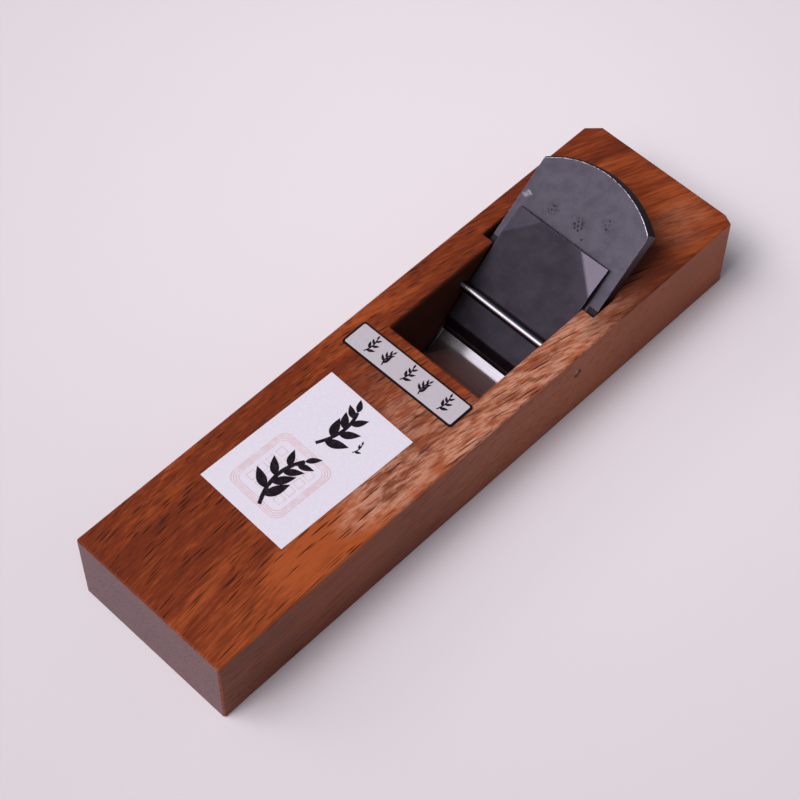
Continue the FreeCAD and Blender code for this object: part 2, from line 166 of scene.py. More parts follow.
# %% A tree that makes its nodes
class Nodes:
    """A node tree and the one method that adds to it."""

    def __init__(self, tree):
        self.tree = tree
        tree.nodes.clear()

    def add(self, kind, settings=None, sockets=None, output=0):
        node = self.tree.nodes.new(kind)
        for name, value in (settings or {}).items():
            setattr(node, name, value)
        for name, value in (sockets or {}).items():
            if isinstance(value, Wire):
                self.tree.links.new(value.socket, node.inputs[name])
            else:
                node.inputs[name].default_value = value
        return Wire(self, node.outputs[output]) if node.outputs else None

    def math(self, operation, first, second=0.0):
        return self.add("ShaderNodeMath", {"operation": operation}, {0: first, 1: second})

    def colours(self, amount, low, high):
        """A colour between low, at amount 0, and high, at amount 1."""
        inputs = {0: amount}
        for socket, colour in ((6, low), (7, high)):
            inputs[socket] = colour if isinstance(colour, Wire) else (*colour, 1.0)
        return self.add("ShaderNodeMix", {"data_type": "RGBA"}, inputs, 2)

    def vector(self, x, y, z):
        return self.add("ShaderNodeCombineXYZ", None, {0: x, 1: y, 2: z})

    def parts(self, vector):
        """The three numbers of a vector."""
        first = self.add("ShaderNodeSeparateXYZ", None, {0: vector})
        return first, first.other(1), first.other(2)

    def noise(self, vector, scale, detail=2.0, roughness=0.5):
        return self.add("ShaderNodeTexNoise", None, {
            "Vector": vector, "Scale": scale, "Detail": detail, "Roughness": roughness,
        })


def new_finish(name):
    """A material with an empty tree."""
    material = bpy.data.materials.new(name)
    material.use_nodes = True
    return material, Nodes(material.node_tree)


def place_in_mm(nodes):
    """Where a point of the surface is, in millimetres, in the object's own frame."""
    place = nodes.add("ShaderNodeTexCoord", None, None, "Object")
    return nodes.add("ShaderNodeVectorMath", {"operation": "SCALE"}, {0: place, "Scale": 1 / MM})


def complete(nodes, surface, bump=None, bump_depth=0.0, bump_strength=1.0):
    """The last nodes of a finish: the bump on its normal, its surface and the output."""
    sockets = dict(surface)
    if bump is not None:
        sockets["Normal"] = nodes.add("ShaderNodeBump", None, {
            "Height": bump, "Distance": bump_depth, "Strength": bump_strength,
        })
    shader = nodes.add("ShaderNodeBsdfPrincipled", None, sockets)
    nodes.add("ShaderNodeOutputMaterial", None, {"Surface": shader})
    print(len(nodes.tree.nodes), "nodes")


# %% [markdown]
# ## Table
# The plane lies on a pale table. A flat sheet just under the sole is all it takes, and it catches the shadow.
# It is painted a shade lighter behind the plane, as a painted pool of light. Under the mouth it is painted
# brown, as painted shade: the steel in the throat mirrors what lies below the mouth, and a pale table would
# show in it as a white line.

# %% Table
TABLE_HALF_WIDTH = 3.0
TABLE_DROP = 0.02 * MM
TABLE_COLOUR = (0.667, 0.638, 0.667)
TABLE_ROUGHNESS, TABLE_SHEEN = 0.75, 0.2
GLOW_PLACE = (-50.0, 75.0)
GLOW_REACH = 300.0
GLOW = 1.22
CLOUD_SHARE, CLOUD_SIZE = 0.06, 50.0
MOUTH_SHADE_COLOUR = (0.14, 0.06, 0.05)
MOUTH_MIDDLE = 25.0
MOUTH_HALF_WIDTH, MOUTH_HALF_LENGTH = 25.0, 20.0
MOUTH_SOFTNESS = 1.0


def make_table():
    """A flat pale sheet just under the sole."""
    mesh = bpy.data.meshes.new("table")
    corners = [(-1, -1), (1, -1), (1, 1), (-1, 1)]
    points = [(TABLE_HALF_WIDTH * x, TABLE_HALF_WIDTH * y, -TABLE_DROP) for x, y in corners]
    mesh.from_pydata(points, [], [(0, 1, 2, 3)])
    table = bpy.data.objects.new("table", mesh)
    bpy.context.scene.collection.objects.link(table)
    material, nodes = new_finish("table_top")
    place = place_in_mm(nodes)
    x, y, _ = nodes.parts(place)
    glow_x, glow_y = GLOW_PLACE
    distance = ((x - glow_x) ** 2.0 + (y - glow_y) ** 2.0) ** 0.5
    clouds = nodes.noise(place, 1 / CLOUD_SIZE)
    # Painted light: the table is painted lighter in a broad pool behind the plane.
    glow = distance.step(GLOW_REACH, 0.0) * (1.0 - CLOUD_SHARE) + clouds * CLOUD_SHARE
    colour = nodes.colours(glow, TABLE_COLOUR, [GLOW * part for part in TABLE_COLOUR])
    # Painted shade: under the mouth the table is painted brown, where no light falls.
    from_mouth = (y - MOUTH_MIDDLE).absolute()
    painted_mouth_shade = (x.absolute().step(MOUTH_HALF_WIDTH + MOUTH_SOFTNESS, MOUTH_HALF_WIDTH)
                   * from_mouth.step(MOUTH_HALF_LENGTH + MOUTH_SOFTNESS, MOUTH_HALF_LENGTH))
    colour = nodes.colours(painted_mouth_shade, colour, MOUTH_SHADE_COLOUR)
    complete(nodes, {"Base Color": colour, "Roughness": TABLE_ROUGHNESS, "Specular IOR Level": TABLE_SHEEN})
    mesh.materials.append(material)


make_table()

# %% [markdown]
# ## Room
# Metal shows nothing but what is around it. Here that is a broad window, high in front and a little to the
# left, the wall under it, a bright patch on the left and a dim room elsewhere. The bent corner of the cap
# iron mirrors the window and looks pale, while the flat of the same iron mirrors the wall and looks black.
# The room could be built of panels. It is painted on the sky instead, where each edge is a soft step in the
# direction that is looked in: a pair of numbers says where the step starts and where it ends.

# %% Walls and window
ROOM_COLOUR = (0.95, 0.90, 0.97)
WALL_STRENGTH, WALL_LEAN = 0.66, -0.18
WINDOW_STRENGTH = 1.20
LEFT_STRENGTH = 2.20
LOW_SHARE = 0.45
DIM_SHARE = 0.70
FRONT_EDGE, FRONT_RIGHT_EDGE = (-0.05, -0.40), (0.45, 0.10)
WINDOW_FOOT, WINDOW_LEFT_EDGE = (0.50, 0.72), (-0.55, -0.20)
LEFT_EDGE, LEFT_FOOT, LEFT_TOP = (-0.50, -0.66), (0.35, 0.50), (0.85, 0.70)
LOW_EDGE, LOW_TOP, LOW_LEFT_EDGE = (-0.45, -0.65), (0.62, 0.48), (-0.60, -0.45)

world = bpy.data.worlds.new("room")
world.use_nodes = True
bpy.context.scene.world = world
room = Nodes(world.node_tree)
to_right, to_head, upwards = room.parts(room.add("ShaderNodeTexCoord", None, None, "Generated"))
in_front = to_head.step(*FRONT_EDGE) * to_right.step(*FRONT_RIGHT_EDGE)
window = upwards.step(*WINDOW_FOOT) * to_right.step(*WINDOW_LEFT_EDGE) * in_front
left_wall = to_right.step(*LEFT_EDGE) * upwards.step(*LEFT_FOOT) * upwards.step(*LEFT_TOP) * in_front
low_front = to_head.step(*LOW_EDGE) * upwards.step(*LOW_TOP) * to_right.step(*LOW_LEFT_EDGE)
walls = (1.0 - to_right * WALL_LEAN) * (1.0 - low_front * LOW_SHARE)
walls = walls * (1.0 - DIM_SHARE + in_front * DIM_SHARE)
strength = walls * WALL_STRENGTH + window * WINDOW_STRENGTH + left_wall * LEFT_STRENGTH
sky = room.add("ShaderNodeBackground", None, {"Color": (*ROOM_COLOUR, 1.0), "Strength": strength})
room.add("ShaderNodeOutputWorld", None, {"Surface": sky})
print(len(room.tree.nodes), "nodes in the room")

# %% [markdown]
# ## Lamps
# A sky alone lights a thing from every side and throws hardly any shadow. So the window has two square lamps
# as well. The small one is mirrored by the metal, and makes its highlights. The large one isn't mirrored: it
# lights and shades. The further off and the smaller a lamp is, the sharper is the edge of its shadow, and
# this one leaves a short soft shadow along the right side and behind the head.

# %% Lamps
LAMP_DISTANCE = 6.0
LAMP_COLOUR = (1.0, 0.96, 0.97)


def make_lamp(name, direction, side, watts, mirrored):
    """A broad square lamp that faces the plane. mirrored says whether metal shows it."""
    data = bpy.data.lights.new(name, "AREA")
    data.shape = "SQUARE"
    data.size = side
    data.energy = watts
    data.color = LAMP_COLOUR
    lamp = bpy.data.objects.new(name, data)
    bpy.context.scene.collection.objects.link(lamp)
    towards = Vector(direction).normalized()
    lamp.location = towards * LAMP_DISTANCE
    lamp.rotation_mode = "QUATERNION"
    lamp.rotation_quaternion = towards.to_track_quat("Z", "Y")
    lamp.visible_camera = False
    lamp.visible_glossy = mirrored
    print(name, "at", [round(value, 2) for value in lamp.location])


make_lamp("window_lamp", direction=(-0.07, -0.59, 0.80), side=1.88, watts=78.0, mirrored=True)
make_lamp("broad_lamp", direction=(-0.26, -0.40, 0.88), side=3.25, watts=178.0, mirrored=False)

# %% [markdown]
# ## Oak
# The block is evergreen oak, oiled red-brown. Its fibres don't run quite along the block: they lean across
# it, more so towards the head, and they rise by a few degrees. That is why the vessels show on the top as
# short dark dashes, where each one comes out of the surface, and as round dots on the ends.
# The finish copies this. Long tubes are laid through the whole block in the direction of the fibres, and the
# faces simply cut them, so top, side and end match where they meet.

# %% Fibre direction
FIBRE_RISE, FIBRE_RISE_PER_MM = 0.086, 0.0013
FIBRE_LEAN, FIBRE_LEAN_PER_MM = 0.13, 0.0024
FIBRE_WANDER = 1.1
WANDER_SCALE = (0.05, 0.018, 0.05)


def fibre_place(nodes):
    """Coordinates that follow the fibres: across, along and up, in millimetres."""
    place = place_in_mm(nodes)
    x, y, z = nodes.parts(place)
    slow = nodes.add("ShaderNodeMapping", None, {"Vector": place, "Scale": WANDER_SCALE})
    wander = nodes.noise(slow, 1.0) - 0.5
    across = x - y * (y * (FIBRE_LEAN_PER_MM / 2) + FIBRE_LEAN) + wander * (2 * FIBRE_WANDER)
    up = z - y * (FIBRE_RISE - x * FIBRE_RISE_PER_MM) + wander * FIBRE_WANDER
    return across, y, up


# %% [markdown]
# A pattern is stretched along the grain by squeezing the coordinate along it. The same helper makes broad
# bands of colour, the fine streaks of single fibres and the flecks. Vessels are tubes, so they come from the
# distance to the nearest of many scattered points in a plane across the grain.

# %% Streaks and vessels
VESSEL_LEAST, VESSEL_SPREAD = 0.4, 0.9
VESSEL_EDGE = (1.4, 0.6)


def streaks(nodes, fibre, width, length, detail=2.0, roughness=0.5):
    """Noise whose blobs are about width across the grain and length along it."""
    across, along, up = fibre
    stretched = nodes.vector(across * (1 / width), along * (1 / length), up * (1 / width))
    return nodes.noise(stretched, 1.0, detail, roughness)


def vessels(nodes, fibre, spacing, height, width, shift):
    """1 inside thin tubes that follow the fibres, each of its own width, and 0 between them."""
    across, _, up = fibre
    section = nodes.vector(across * (1 / spacing) + shift, up * (1 / height), 0.0)
    distance = nodes.add("ShaderNodeTexVoronoi", {"feature": "F1", "voronoi_dimensions": "2D"}, {
        "Vector": section, "Scale": 1.0, "Randomness": 1.0,
    }, "Distance")
    chance, _, _ = nodes.parts(distance.other("Color"))
    reach = width / (2 * spacing)
    outer, inner = (edge * reach for edge in VESSEL_EDGE)
    return (distance / (chance * VESSEL_SPREAD + VESSEL_LEAST)).step(outer, inner)


# %% [markdown]
# Oak has rays as well: ribbons that run outwards from the heart of the tree. Where a ribbon lies flat in the
# surface it shows as pale wood. On this block that is so between the throat and the right side, and there the
# pale colour also stands for a painted sheen, where pores catch the light. The wood beside it is a warm red.
# Beside the blade the top is painted darker, as the painted shadow of the blade's head. So a few soft patches
# say where the pale, the warm and the shadowed wood are, each with a place, a reach and an amount.

# %% Patches
# Pale ray wood, with a painted sheen where the pores catch the light.
PALE_AND_SHEEN_PATCHES = [
    ((24.0, 14.0), (9.0, 50.0), 1.0),
    ((14.0, -12.0), (16.0, 9.0), 0.65),
    ((21.0, -33.0), (8.0, 21.0), 0.95),
    ((17.5, 94.0), (8.0, 11.0), 0.25),
    ((-4.0, -13.0), (12.0, 6.0), 0.18),
]
WARM_PATCHES = [
    ((23.0, -60.0), (12.0, 22.0), 1.0),
    ((20.0, -92.0), (20.0, 22.0), 0.25),
    ((10.0, 4.0), (22.0, 16.0), 0.4),
    ((-25.0, -12.0), (7.0, 70.0), 0.6),
    ((4.0, 94.0), (26.0, 14.0), 0.4),
    ((24.0, 14.0), (9.0, 50.0), 0.7),
]
# Painted shadow of the blade's head, on the top beside the blade.
BLADE_SHADOW_PATCHES = [
    ((25.0, 60.0), (4.2, 18.0), 0.6),
    ((24.0, 72.0), (6.5, 12.0), 0.5),
    ((20.0, 86.0), (10.0, 15.0), 0.16),
]
PATCH_EDGE = (1.5, 0.3)


def strongest(wires):
    """The largest of several wires at each place."""
    return reduce(Wire.most, wires)


def patches(x, y, places):
    """How much of a kind of wood there is at each place on the top."""
    def patch(middle, reach, amount):
        across = (x - middle[0]) * (1 / reach[0])
        along = (y - middle[1]) * (1 / reach[1])
        return (across ** 2.0 + along ** 2.0).step(*PATCH_EDGE) * amount

    return strongest(patch(*place) for place in places)


# %% [markdown]
# Bands, streaks and hairs of fibre add up to one tone, and the tone picks the colour, from dark over red to
# warm wood. A single noise would look like marble: wood needs several, from broad to fine, that all follow
# the same fibres. The pale ribbons and their painted sheen come on top of that, in blotches that are broken
# into flecks and hairs.

# %% Colour of the wood
OAK_DARK = (0.094, 0.018, 0.009)
OAK_RED = (0.164, 0.028, 0.008)
OAK_WARM = (0.370, 0.080, 0.020)
RED_TONES, WARM_TONES = (0.31, 0.49), (0.46, 0.72)
BAND_WIDTH, BAND_LENGTH, BAND_SHARE = 6.0, 70.0, 0.45
STREAK_WIDTH, STREAK_LENGTH, STREAK_SHARE = 0.8, 9.0, 0.45
HAIR_WIDTH, HAIR_LENGTH, HAIR_SHARE = 0.24, 5.0, 0.10
WARM_SHARE, RIGHT_SHARE = 0.14, 0.0012
BLOTCH_WIDTH, BLOTCH_LENGTH, BLOTCH_SHARE = 3.0, 11.0, 0.70
FLECK_WIDTH, FLECK_LENGTH, FLECK_LEAN = 0.75, 4.5, -0.08
FLECK_SHARE, PALE_HAIR_SHARE, EVEN_SHARE = 0.60, 0.32, 0.05


def wood_colour(nodes, bands, streak, hair, x, y):
    """Dark, red and warm wood. It gets a little warmer to the right."""
    tone = bands * BAND_SHARE + streak * STREAK_SHARE + hair * HAIR_SHARE
    tone = tone + patches(x, y, WARM_PATCHES) * WARM_SHARE + x * RIGHT_SHARE
    colour = nodes.colours(tone.step(*RED_TONES), OAK_DARK, OAK_RED)
    return nodes.colours(tone.step(*WARM_TONES), colour, OAK_WARM)


def ribbons(nodes, fibre, hair, x, y):
    """How much pale wood and painted sheen there is."""
    across, along, up = fibre
    blotches = streaks(nodes, fibre, BLOTCH_WIDTH, BLOTCH_LENGTH).step(0.36, 0.56)
    flecks = streaks(nodes, (across + along * FLECK_LEAN, along, up), FLECK_WIDTH, FLECK_LENGTH, 3.0, 0.65)
    pale = patches(x, y, PALE_AND_SHEEN_PATCHES) * (blotches * BLOTCH_SHARE + (1.0 - BLOTCH_SHARE))
    broken = flecks.step(0.40, 0.56) * FLECK_SHARE + hair.step(0.38, 0.58) * PALE_HAIR_SHARE
    return pale * (broken + EVEN_SHARE)


# %% [markdown]
# The faces differ as well. The surface's own normal says which face a point is on, and its place says whether
# it is in the throat. The ends are sealed with wax to keep them from drying out and cracking, and their grey
# is partly the wax and partly a painted reflection of the pale table. The sides get warmer towards the head.
# In the throat the wall that faces the head is painted much lighter, as painted light, and the other walls
# are painted dark, as painted shade. So is the hole that the pin sits in.

# %% Faces of the block
FACE_EDGE, HEAD_EDGE = (0.8, 0.95), (0.3, 0.5)
INSIDE_ACROSS, INSIDE_ALONG = (27.5, 27.0), (90.0, 89.0)
INSIDE_BELOW_TOP, INSIDE_ABOVE_SOLE = (0.3, 3.0), (0.2, 0.4)
HOLE_RADIUS, HOLE_FADE, HOLE_END = 1.58, 0.08, (-24.5, -24.0)

_, block_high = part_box("dai_block")
pin_low, pin_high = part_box("pressing_pin")
block_top = block_high.z / MM
pin_place = (pin_low + pin_high) / (2 * MM)
print("top of the block at", round(block_top, 2), "and pin at", [round(value, 2) for value in pin_place])


def block_faces(nodes):
    """Whether a point is on an end, on a side, and on a wall that faces the head."""
    faces_x, faces_y, _ = nodes.parts(nodes.add("ShaderNodeTexCoord", None, None, "Normal"))
    return faces_y.absolute().step(*FACE_EDGE), faces_x.absolute().step(*FACE_EDGE), faces_y.step(*HEAD_EDGE)


def in_throat(x, y, z):
    """Rises from 0 on the block's outer faces to 1 within it, where only the throat has walls."""
    start, end = (block_top - depth for depth in INSIDE_BELOW_TOP)
    return (x.absolute().step(*INSIDE_ACROSS) * y.absolute().step(*INSIDE_ALONG)
            * z.step(start, end) * z.step(*INSIDE_ABOVE_SOLE))


# The pin's hole gets painted shade.
def in_pin_hole(x, y, z):
    from_pin = ((y - pin_place.y) ** 2.0 + (z - pin_place.z) ** 2.0) ** 0.5
    return from_pin.step(HOLE_RADIUS + HOLE_FADE, HOLE_RADIUS) * x.step(*HOLE_END)


# %% [markdown]
# Last come the openings in the wood. Large vessels stand in clusters and get fainter towards the head, fine
# ones lie between them, and wider cracks have opened on the right half. All are dark, rough and sunk in.

# %% Oak finish
# The pale colour is ray wood with a painted sheen on it.
OAK_PALE_AND_SHEEN = (0.565, 0.278, 0.180)
OAK_SIDE_NEAR = (0.145, 0.036, 0.011)
OAK_SIDE_FAR = (0.330, 0.082, 0.020)
# The end colour is partly wax and partly a painted reflection of the pale table.
OAK_END_WAX_AND_REFLECTION = (0.146, 0.094, 0.102)
# The throat wall that faces the head gets painted light.
OAK_PAINTED_LIGHT = (0.600, 0.270, 0.200)
# The inside colour is painted shade, for the throat, the pin's hole and the blade's shadow.
OAK_PAINTED_SHADE = (0.050, 0.016, 0.010)
OAK_OPENING = (0.020, 0.005, 0.003)
SIDE_SHARE, END_SHARE, PAINTED_LIGHT_SHARE, HOLE_SHADE_SHARE = 0.68, 0.85, 0.90, 0.35
SIDE_ENDS = (-100.0, 100.0)
VESSEL_SPACING, VESSEL_HEIGHT, VESSEL_WIDTH = 1.05, 1.10, 0.40
FINE_SPACING, FINE_HEIGHT, FINE_WIDTH, FINE_SHARE = 0.42, 0.55, 0.12, 0.25
CRACK_SPACING, CRACK_HEIGHT, CRACK_WIDTH, CRACK_START = 3.4, 2.6, 0.46, (4.0, 12.0)
CLUSTER_WIDTH, CLUSTER_LENGTH = 4.0, 25.0
FAINTER_FROM, FAINTER_SHARE = (45.0, 75.0), 0.6
OAK_RELIEF = 0.06 * MM


def openings(nodes, fibre, x, y):
    """How dark the vessels and the cracks are."""
    large = vessels(nodes, fibre, VESSEL_SPACING, VESSEL_HEIGHT, VESSEL_WIDTH, 0.0)
    fine = vessels(nodes, fibre, FINE_SPACING, FINE_HEIGHT, FINE_WIDTH, 31.7)
    cracks = vessels(nodes, fibre, CRACK_SPACING, CRACK_HEIGHT, CRACK_WIDTH, 11.3) * x.step(*CRACK_START)
    clusters = streaks(nodes, fibre, CLUSTER_WIDTH, CLUSTER_LENGTH, 1.0).step(0.40, 0.58)
    large = large * (clusters * 0.60 + 0.40) * (1.0 - y.step(*FAINTER_FROM) * FAINTER_SHARE) * 0.95
    return strongest([large, fine * FINE_SHARE, cracks])


def make_oak():
    material, nodes = new_finish("oak_oiled")
    x, y, z = nodes.parts(place_in_mm(nodes))
    fibre = fibre_place(nodes)
    bands = streaks(nodes, fibre, BAND_WIDTH, BAND_LENGTH)
    streak = streaks(nodes, fibre, STREAK_WIDTH, STREAK_LENGTH, 3.0, 0.6)
    hair = streaks(nodes, fibre, HAIR_WIDTH, HAIR_LENGTH, 2.0, 0.6)
    on_end, on_side, facing_head = block_faces(nodes)

    # The pale wood carries a painted sheen as well.
    pale = ribbons(nodes, fibre, hair, x, y) * (1.0 - on_side * 0.6)
    colour = nodes.colours(pale, wood_colour(nodes, bands, streak, hair, x, y), OAK_PALE_AND_SHEEN)
    side = nodes.colours(y.step(*SIDE_ENDS), OAK_SIDE_NEAR, OAK_SIDE_FAR)
    colour = nodes.colours(on_side * SIDE_SHARE, colour, side)
    on_top = (1.0 - on_side) * (1.0 - on_end)
    # Painted shadow of the blade's head, darkening the top beside the blade.
    painted_blade_shadow = patches(x, y, BLADE_SHADOW_PATCHES) * (bands * 0.6 + 0.5) * on_top
    colour = nodes.colours(painted_blade_shadow, colour, OAK_PAINTED_SHADE)
    # The ends are greyer: partly wax, partly a painted reflection of the table.
    colour = nodes.colours(on_end * END_SHARE, colour, OAK_END_WAX_AND_REFLECTION)

    inside = in_throat(x, y, z)
    # Painted shade: the throat walls that don't face the head are painted dark.
    painted_shade = inside * (1.0 - facing_head) * (on_side * 0.55 + 0.35)
    # Painted light on the throat wall that faces the head.
    colour = nodes.colours(inside * facing_head * PAINTED_LIGHT_SHARE, colour, OAK_PAINTED_LIGHT)
    # Painted shade on those walls and in the pin's hole.
    colour = nodes.colours(painted_shade.most(in_pin_hole(x, y, z) * HOLE_SHADE_SHARE), colour, OAK_PAINTED_SHADE)
    dark = openings(nodes, fibre, x, y)
    colour = nodes.colours(dark * (0.88 - 0.66 * on_side - 0.45 * on_end), colour, OAK_OPENING)
    roughness = 0.44 + streak * 0.10 + dark * 0.25 + painted_shade * 0.50
    relief = hair * 0.25 - dark + streak * 0.15
    complete(nodes, {
        "Base Color": colour, "Roughness": roughness, "IOR": 1.45, "Specular IOR Level": 0.24,
    }, relief, OAK_RELIEF, 0.8)
    return material


oak = make_oak()

# %% [markdown]
# ## The blade's own frame
# The blade lies at a slope, so it is easiest to think in its own directions: across, up the face from the
# cutting edge, and out of the face. The joints of the model give the slopes: the cap iron slides along the
# blade's face. A finish can use these directions too, for a mark on the blade or a change along it.

# %% Blade frame
slides = {joint["name"]: Vector(joint["axis"]) for joint in frame["joints"]}
up_face = slides["cap_slide"].normalized()
out_of_face = X_AXIS.cross(up_face)
steel_low, steel_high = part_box("blade_steel")
cutting_edge = Vector(((steel_low.x + steel_high.x) / 2, steel_low.y, steel_low.z))
blade_half_width = (steel_high.x - steel_low.x) / 2
face_angle = math.atan2(up_face.z, up_face.y)
blade_frame = Matrix.Translation(cutting_edge) @ Matrix.Rotation(face_angle, 4, "X")
from_blade = blade_frame.inverted()
print("face rises at", round(math.degrees(face_angle), 2), "degrees")


def place_on_blade(nodes):
    """How far across the blade and up its face a point is, in millimetres from the cutting edge."""
    x, y, z = nodes.parts(place_in_mm(nodes))
    edge = cutting_edge / MM
    return x - edge.x, (y - edge.y) * up_face.y + (z - edge.z) * up_face.z


# %% [markdown]
# ## Forged iron and blackened iron
# The blade's body is soft iron, ground by hand and left grey. The cap iron is nearly black with scale. Both
# are metal all through, so their colour is the tint of what they mirror, and a rough surface blurs it.
# Wear shows first along the edges: the pieces carry a number per face, worn_edge, which is 1 on an eased
# edge, and a little noise breaks the bright line up into nicks. A second number, scaled, is 1 where the black
# scale of the forge is still there. The blade's face has stains, scuffs and struck dots as well.

# %% A metal finish
SCALE_COLOUR = (0.016, 0.013, 0.018)
STAIN_COLOUR = (0.036, 0.026, 0.032)
STAINS, STAIN_RADIUS = [(0.3, 59.6), (-9.4, 58.9), (8.3, 64.3)], 2.3
SCUFFS, SCUFF_RADIUS, SCUFF_SQUEEZE = [(-13.2, 58.2), (-13.6, 57.3)], 0.9, 0.7
PUNCH_RADIUS, PUNCH_DEPTH = 0.34, 6.0
DOT_EDGE = (1.25, 0.6)
GRAIN_SIZE, SPECK_SIZE, NICK_SIZE, SMUDGE_SIZE = 0.16, 0.45, 0.9, 0.8


def dots(across, up, places, radius):
    """1 inside small round marks, each at a place on the blade's face."""
    def dot(mark_across, mark_up):
        far = ((across - mark_across) ** 2.0 + (up - mark_up) ** 2.0) ** 0.5
        return far.step(*(edge * radius for edge in DOT_EDGE))

    return strongest(dot(*place) for place in places)


def mark_face(nodes, place, colour, height, worn, punches):
    """The colour and the height with the stains, the scuffs and the punched dots on them."""
    across, up = place_on_blade(nodes)
    smudge = nodes.noise(place, 1 / SMUDGE_SIZE, 3.0, 0.6).step(0.40, 0.62)
    stained = dots(across, up, STAINS, STAIN_RADIUS) * smudge
    colour = nodes.colours(stained * 0.55, colour, STAIN_COLOUR)
    scuffed = dots(across * SCUFF_SQUEEZE, up, SCUFFS, SCUFF_RADIUS) * smudge
    colour = nodes.colours(scuffed * 0.45, colour, worn)
    punched = dots(across, up, punches, PUNCH_RADIUS)
    return nodes.colours(punched * 0.8, colour, SCALE_COLOUR), height - punched * PUNCH_DEPTH


def make_metal(name, dark, light, worn, roughness, mottle, relief, edge_amount, punches=()):
    """Mottled metal with bright nicked edges. mottle is the size of its clouds, in millimetres."""
    material, nodes = new_finish(name)
    place = place_in_mm(nodes)
    clouds = nodes.noise(place, 1 / mottle, 4.0, 0.6)
    grain = nodes.noise(place, 1 / GRAIN_SIZE, 2.0, 0.6)
    specks = nodes.noise(place, 1 / SPECK_SIZE).step(0.70, 0.78)
    nicks = nodes.noise(place, 1 / NICK_SIZE, 3.0, 0.7).step(0.36, 0.56)
    scaled = nodes.add("ShaderNodeAttribute", {"attribute_name": "scaled"}, None, "Fac")
    edge = nodes.add("ShaderNodeAttribute", {"attribute_name": "worn_edge"}, None, "Fac")
    bright = edge * nicks * edge_amount
    colour = nodes.colours(clouds.step(0.3, 0.7) * 0.6 + grain * 0.4, dark, light)
    colour = nodes.colours(specks * 0.2, colour, worn)
    colour = nodes.colours(scaled, colour, SCALE_COLOUR)
    colour = nodes.colours(bright, colour, worn)
    rough = roughness + clouds * 0.10 - bright * 0.10
    height = grain * 0.5 + clouds * 0.5 - specks * 0.3
    if punches:
        colour, height = mark_face(nodes, place, colour, height, worn, punches)
    complete(nodes, {
        "Base Color": colour, "Metallic": 1.0 - scaled, "Roughness": rough + scaled * 0.35,
        "Specular IOR Level": 0.08,
    }, height, relief * MM, 0.6)
    return material


# %% [markdown]
# The head of the blade carries a few dots, struck with a round punch: a ring of six with one in its middle,
# and a few beside it.

# %% Dots, and the two irons
RING_PLACE = (0.5, 58.9)
RING_RADIUS, RING_DOTS = 1.35, 6

ring_turns = [2 * math.pi * index / RING_DOTS for index in range(RING_DOTS)]
punch_dots = [RING_PLACE, (-9.5, 58.2), (-9.5, 59.6), (8.1, 65.6), (8.6, 63.0), (3.8, 56.1)]
punch_dots += [(RING_PLACE[0] + RING_RADIUS * math.cos(turn), RING_PLACE[1] + RING_RADIUS * math.sin(turn))
               for turn in ring_turns]
forged_iron = make_metal(
    "iron_forged", dark=(0.064, 0.058, 0.075), light=(0.102, 0.092, 0.117), worn=(0.48, 0.46, 0.51),
    roughness=0.36, mottle=4.5, relief=0.010, edge_amount=1.0, punches=punch_dots)
black_iron = make_metal(
    "iron_blackened", dark=(0.038, 0.032, 0.043), light=(0.062, 0.054, 0.070), worn=(0.20, 0.19, 0.23),
    roughness=0.25, mottle=7.0, relief=0.006, edge_amount=0.5)

# %% [markdown]
# ## Polished and drawn steel
# Polished steel still carries the fine lines of the stone that it was finished on. They run across the
# blade, so a noise that is long across and very short along it makes them. The polish stops short of the top
# of the steel, where the ground face is as grey and rough as the iron. The two sides that run in the block's
# grooves are painted dark, as painted shade where the steel mirrors the dark throat walls. The pin has a
# painted highlight along the side that faces the window and painted shade on the rest, and its open end is
# painted pale, as a painted glint.

# %% Bright steel
LINE_DEPTH = 0.004 * MM
POLISH_END, POLISH_WANDER, POLISH_FADE = 34.5, 1.5, 1.2
GROUND_STEEL, GROUND_ROUGHNESS = (0.145, 0.128, 0.165), 0.40
# The sides get painted shade: there the steel mirrors the dark throat walls.
SIDE_SHADE_STEEL, SIDE_SHADE_WIDTH, SIDE_SHADE_FADE = (0.030, 0.024, 0.028), 3.0, 0.7
# The pin's painted shade, and the direction its painted highlight faces.
PIN_SHADE_STEEL = (0.170, 0.155, 0.220)
HIGHLIGHT_NORMAL, HIGHLIGHT_EDGE = (-0.54, 0.84), (0.86, 0.97)
# The pin's end is painted pale, as a painted glint.
PIN_END_GLINT, GLINT_ROUGHNESS = (0.95, 0.93, 0.95), 0.40
GLINT_DEPTH = (0.5, 0.2)


def dull_steel(nodes, breath):
    """Where the blade's steel is ground and where its sides are painted dark, as painted shade."""
    across, up = place_on_blade(nodes)
    ground = (up + breath * POLISH_WANDER).step(POLISH_END, POLISH_END + POLISH_FADE)
    side_shade_from = blade_half_width / MM - SIDE_SHADE_WIDTH
    return ground, across.absolute().step(side_shade_from - SIDE_SHADE_FADE, side_shade_from)


def pin_faces(nodes, end):
    """Where the pin gets its painted highlight and where its end gets its painted glint."""
    x, _, _ = nodes.parts(place_in_mm(nodes))
    _, faces_y, faces_z = nodes.parts(nodes.add("ShaderNodeTexCoord", None, None, "Normal"))
    painted_highlight = (faces_y * HIGHLIGHT_NORMAL[0] + faces_z * HIGHLIGHT_NORMAL[1]).step(*HIGHLIGHT_EDGE)
    return painted_highlight, x.step(*(end - depth for depth in GLINT_DEPTH))


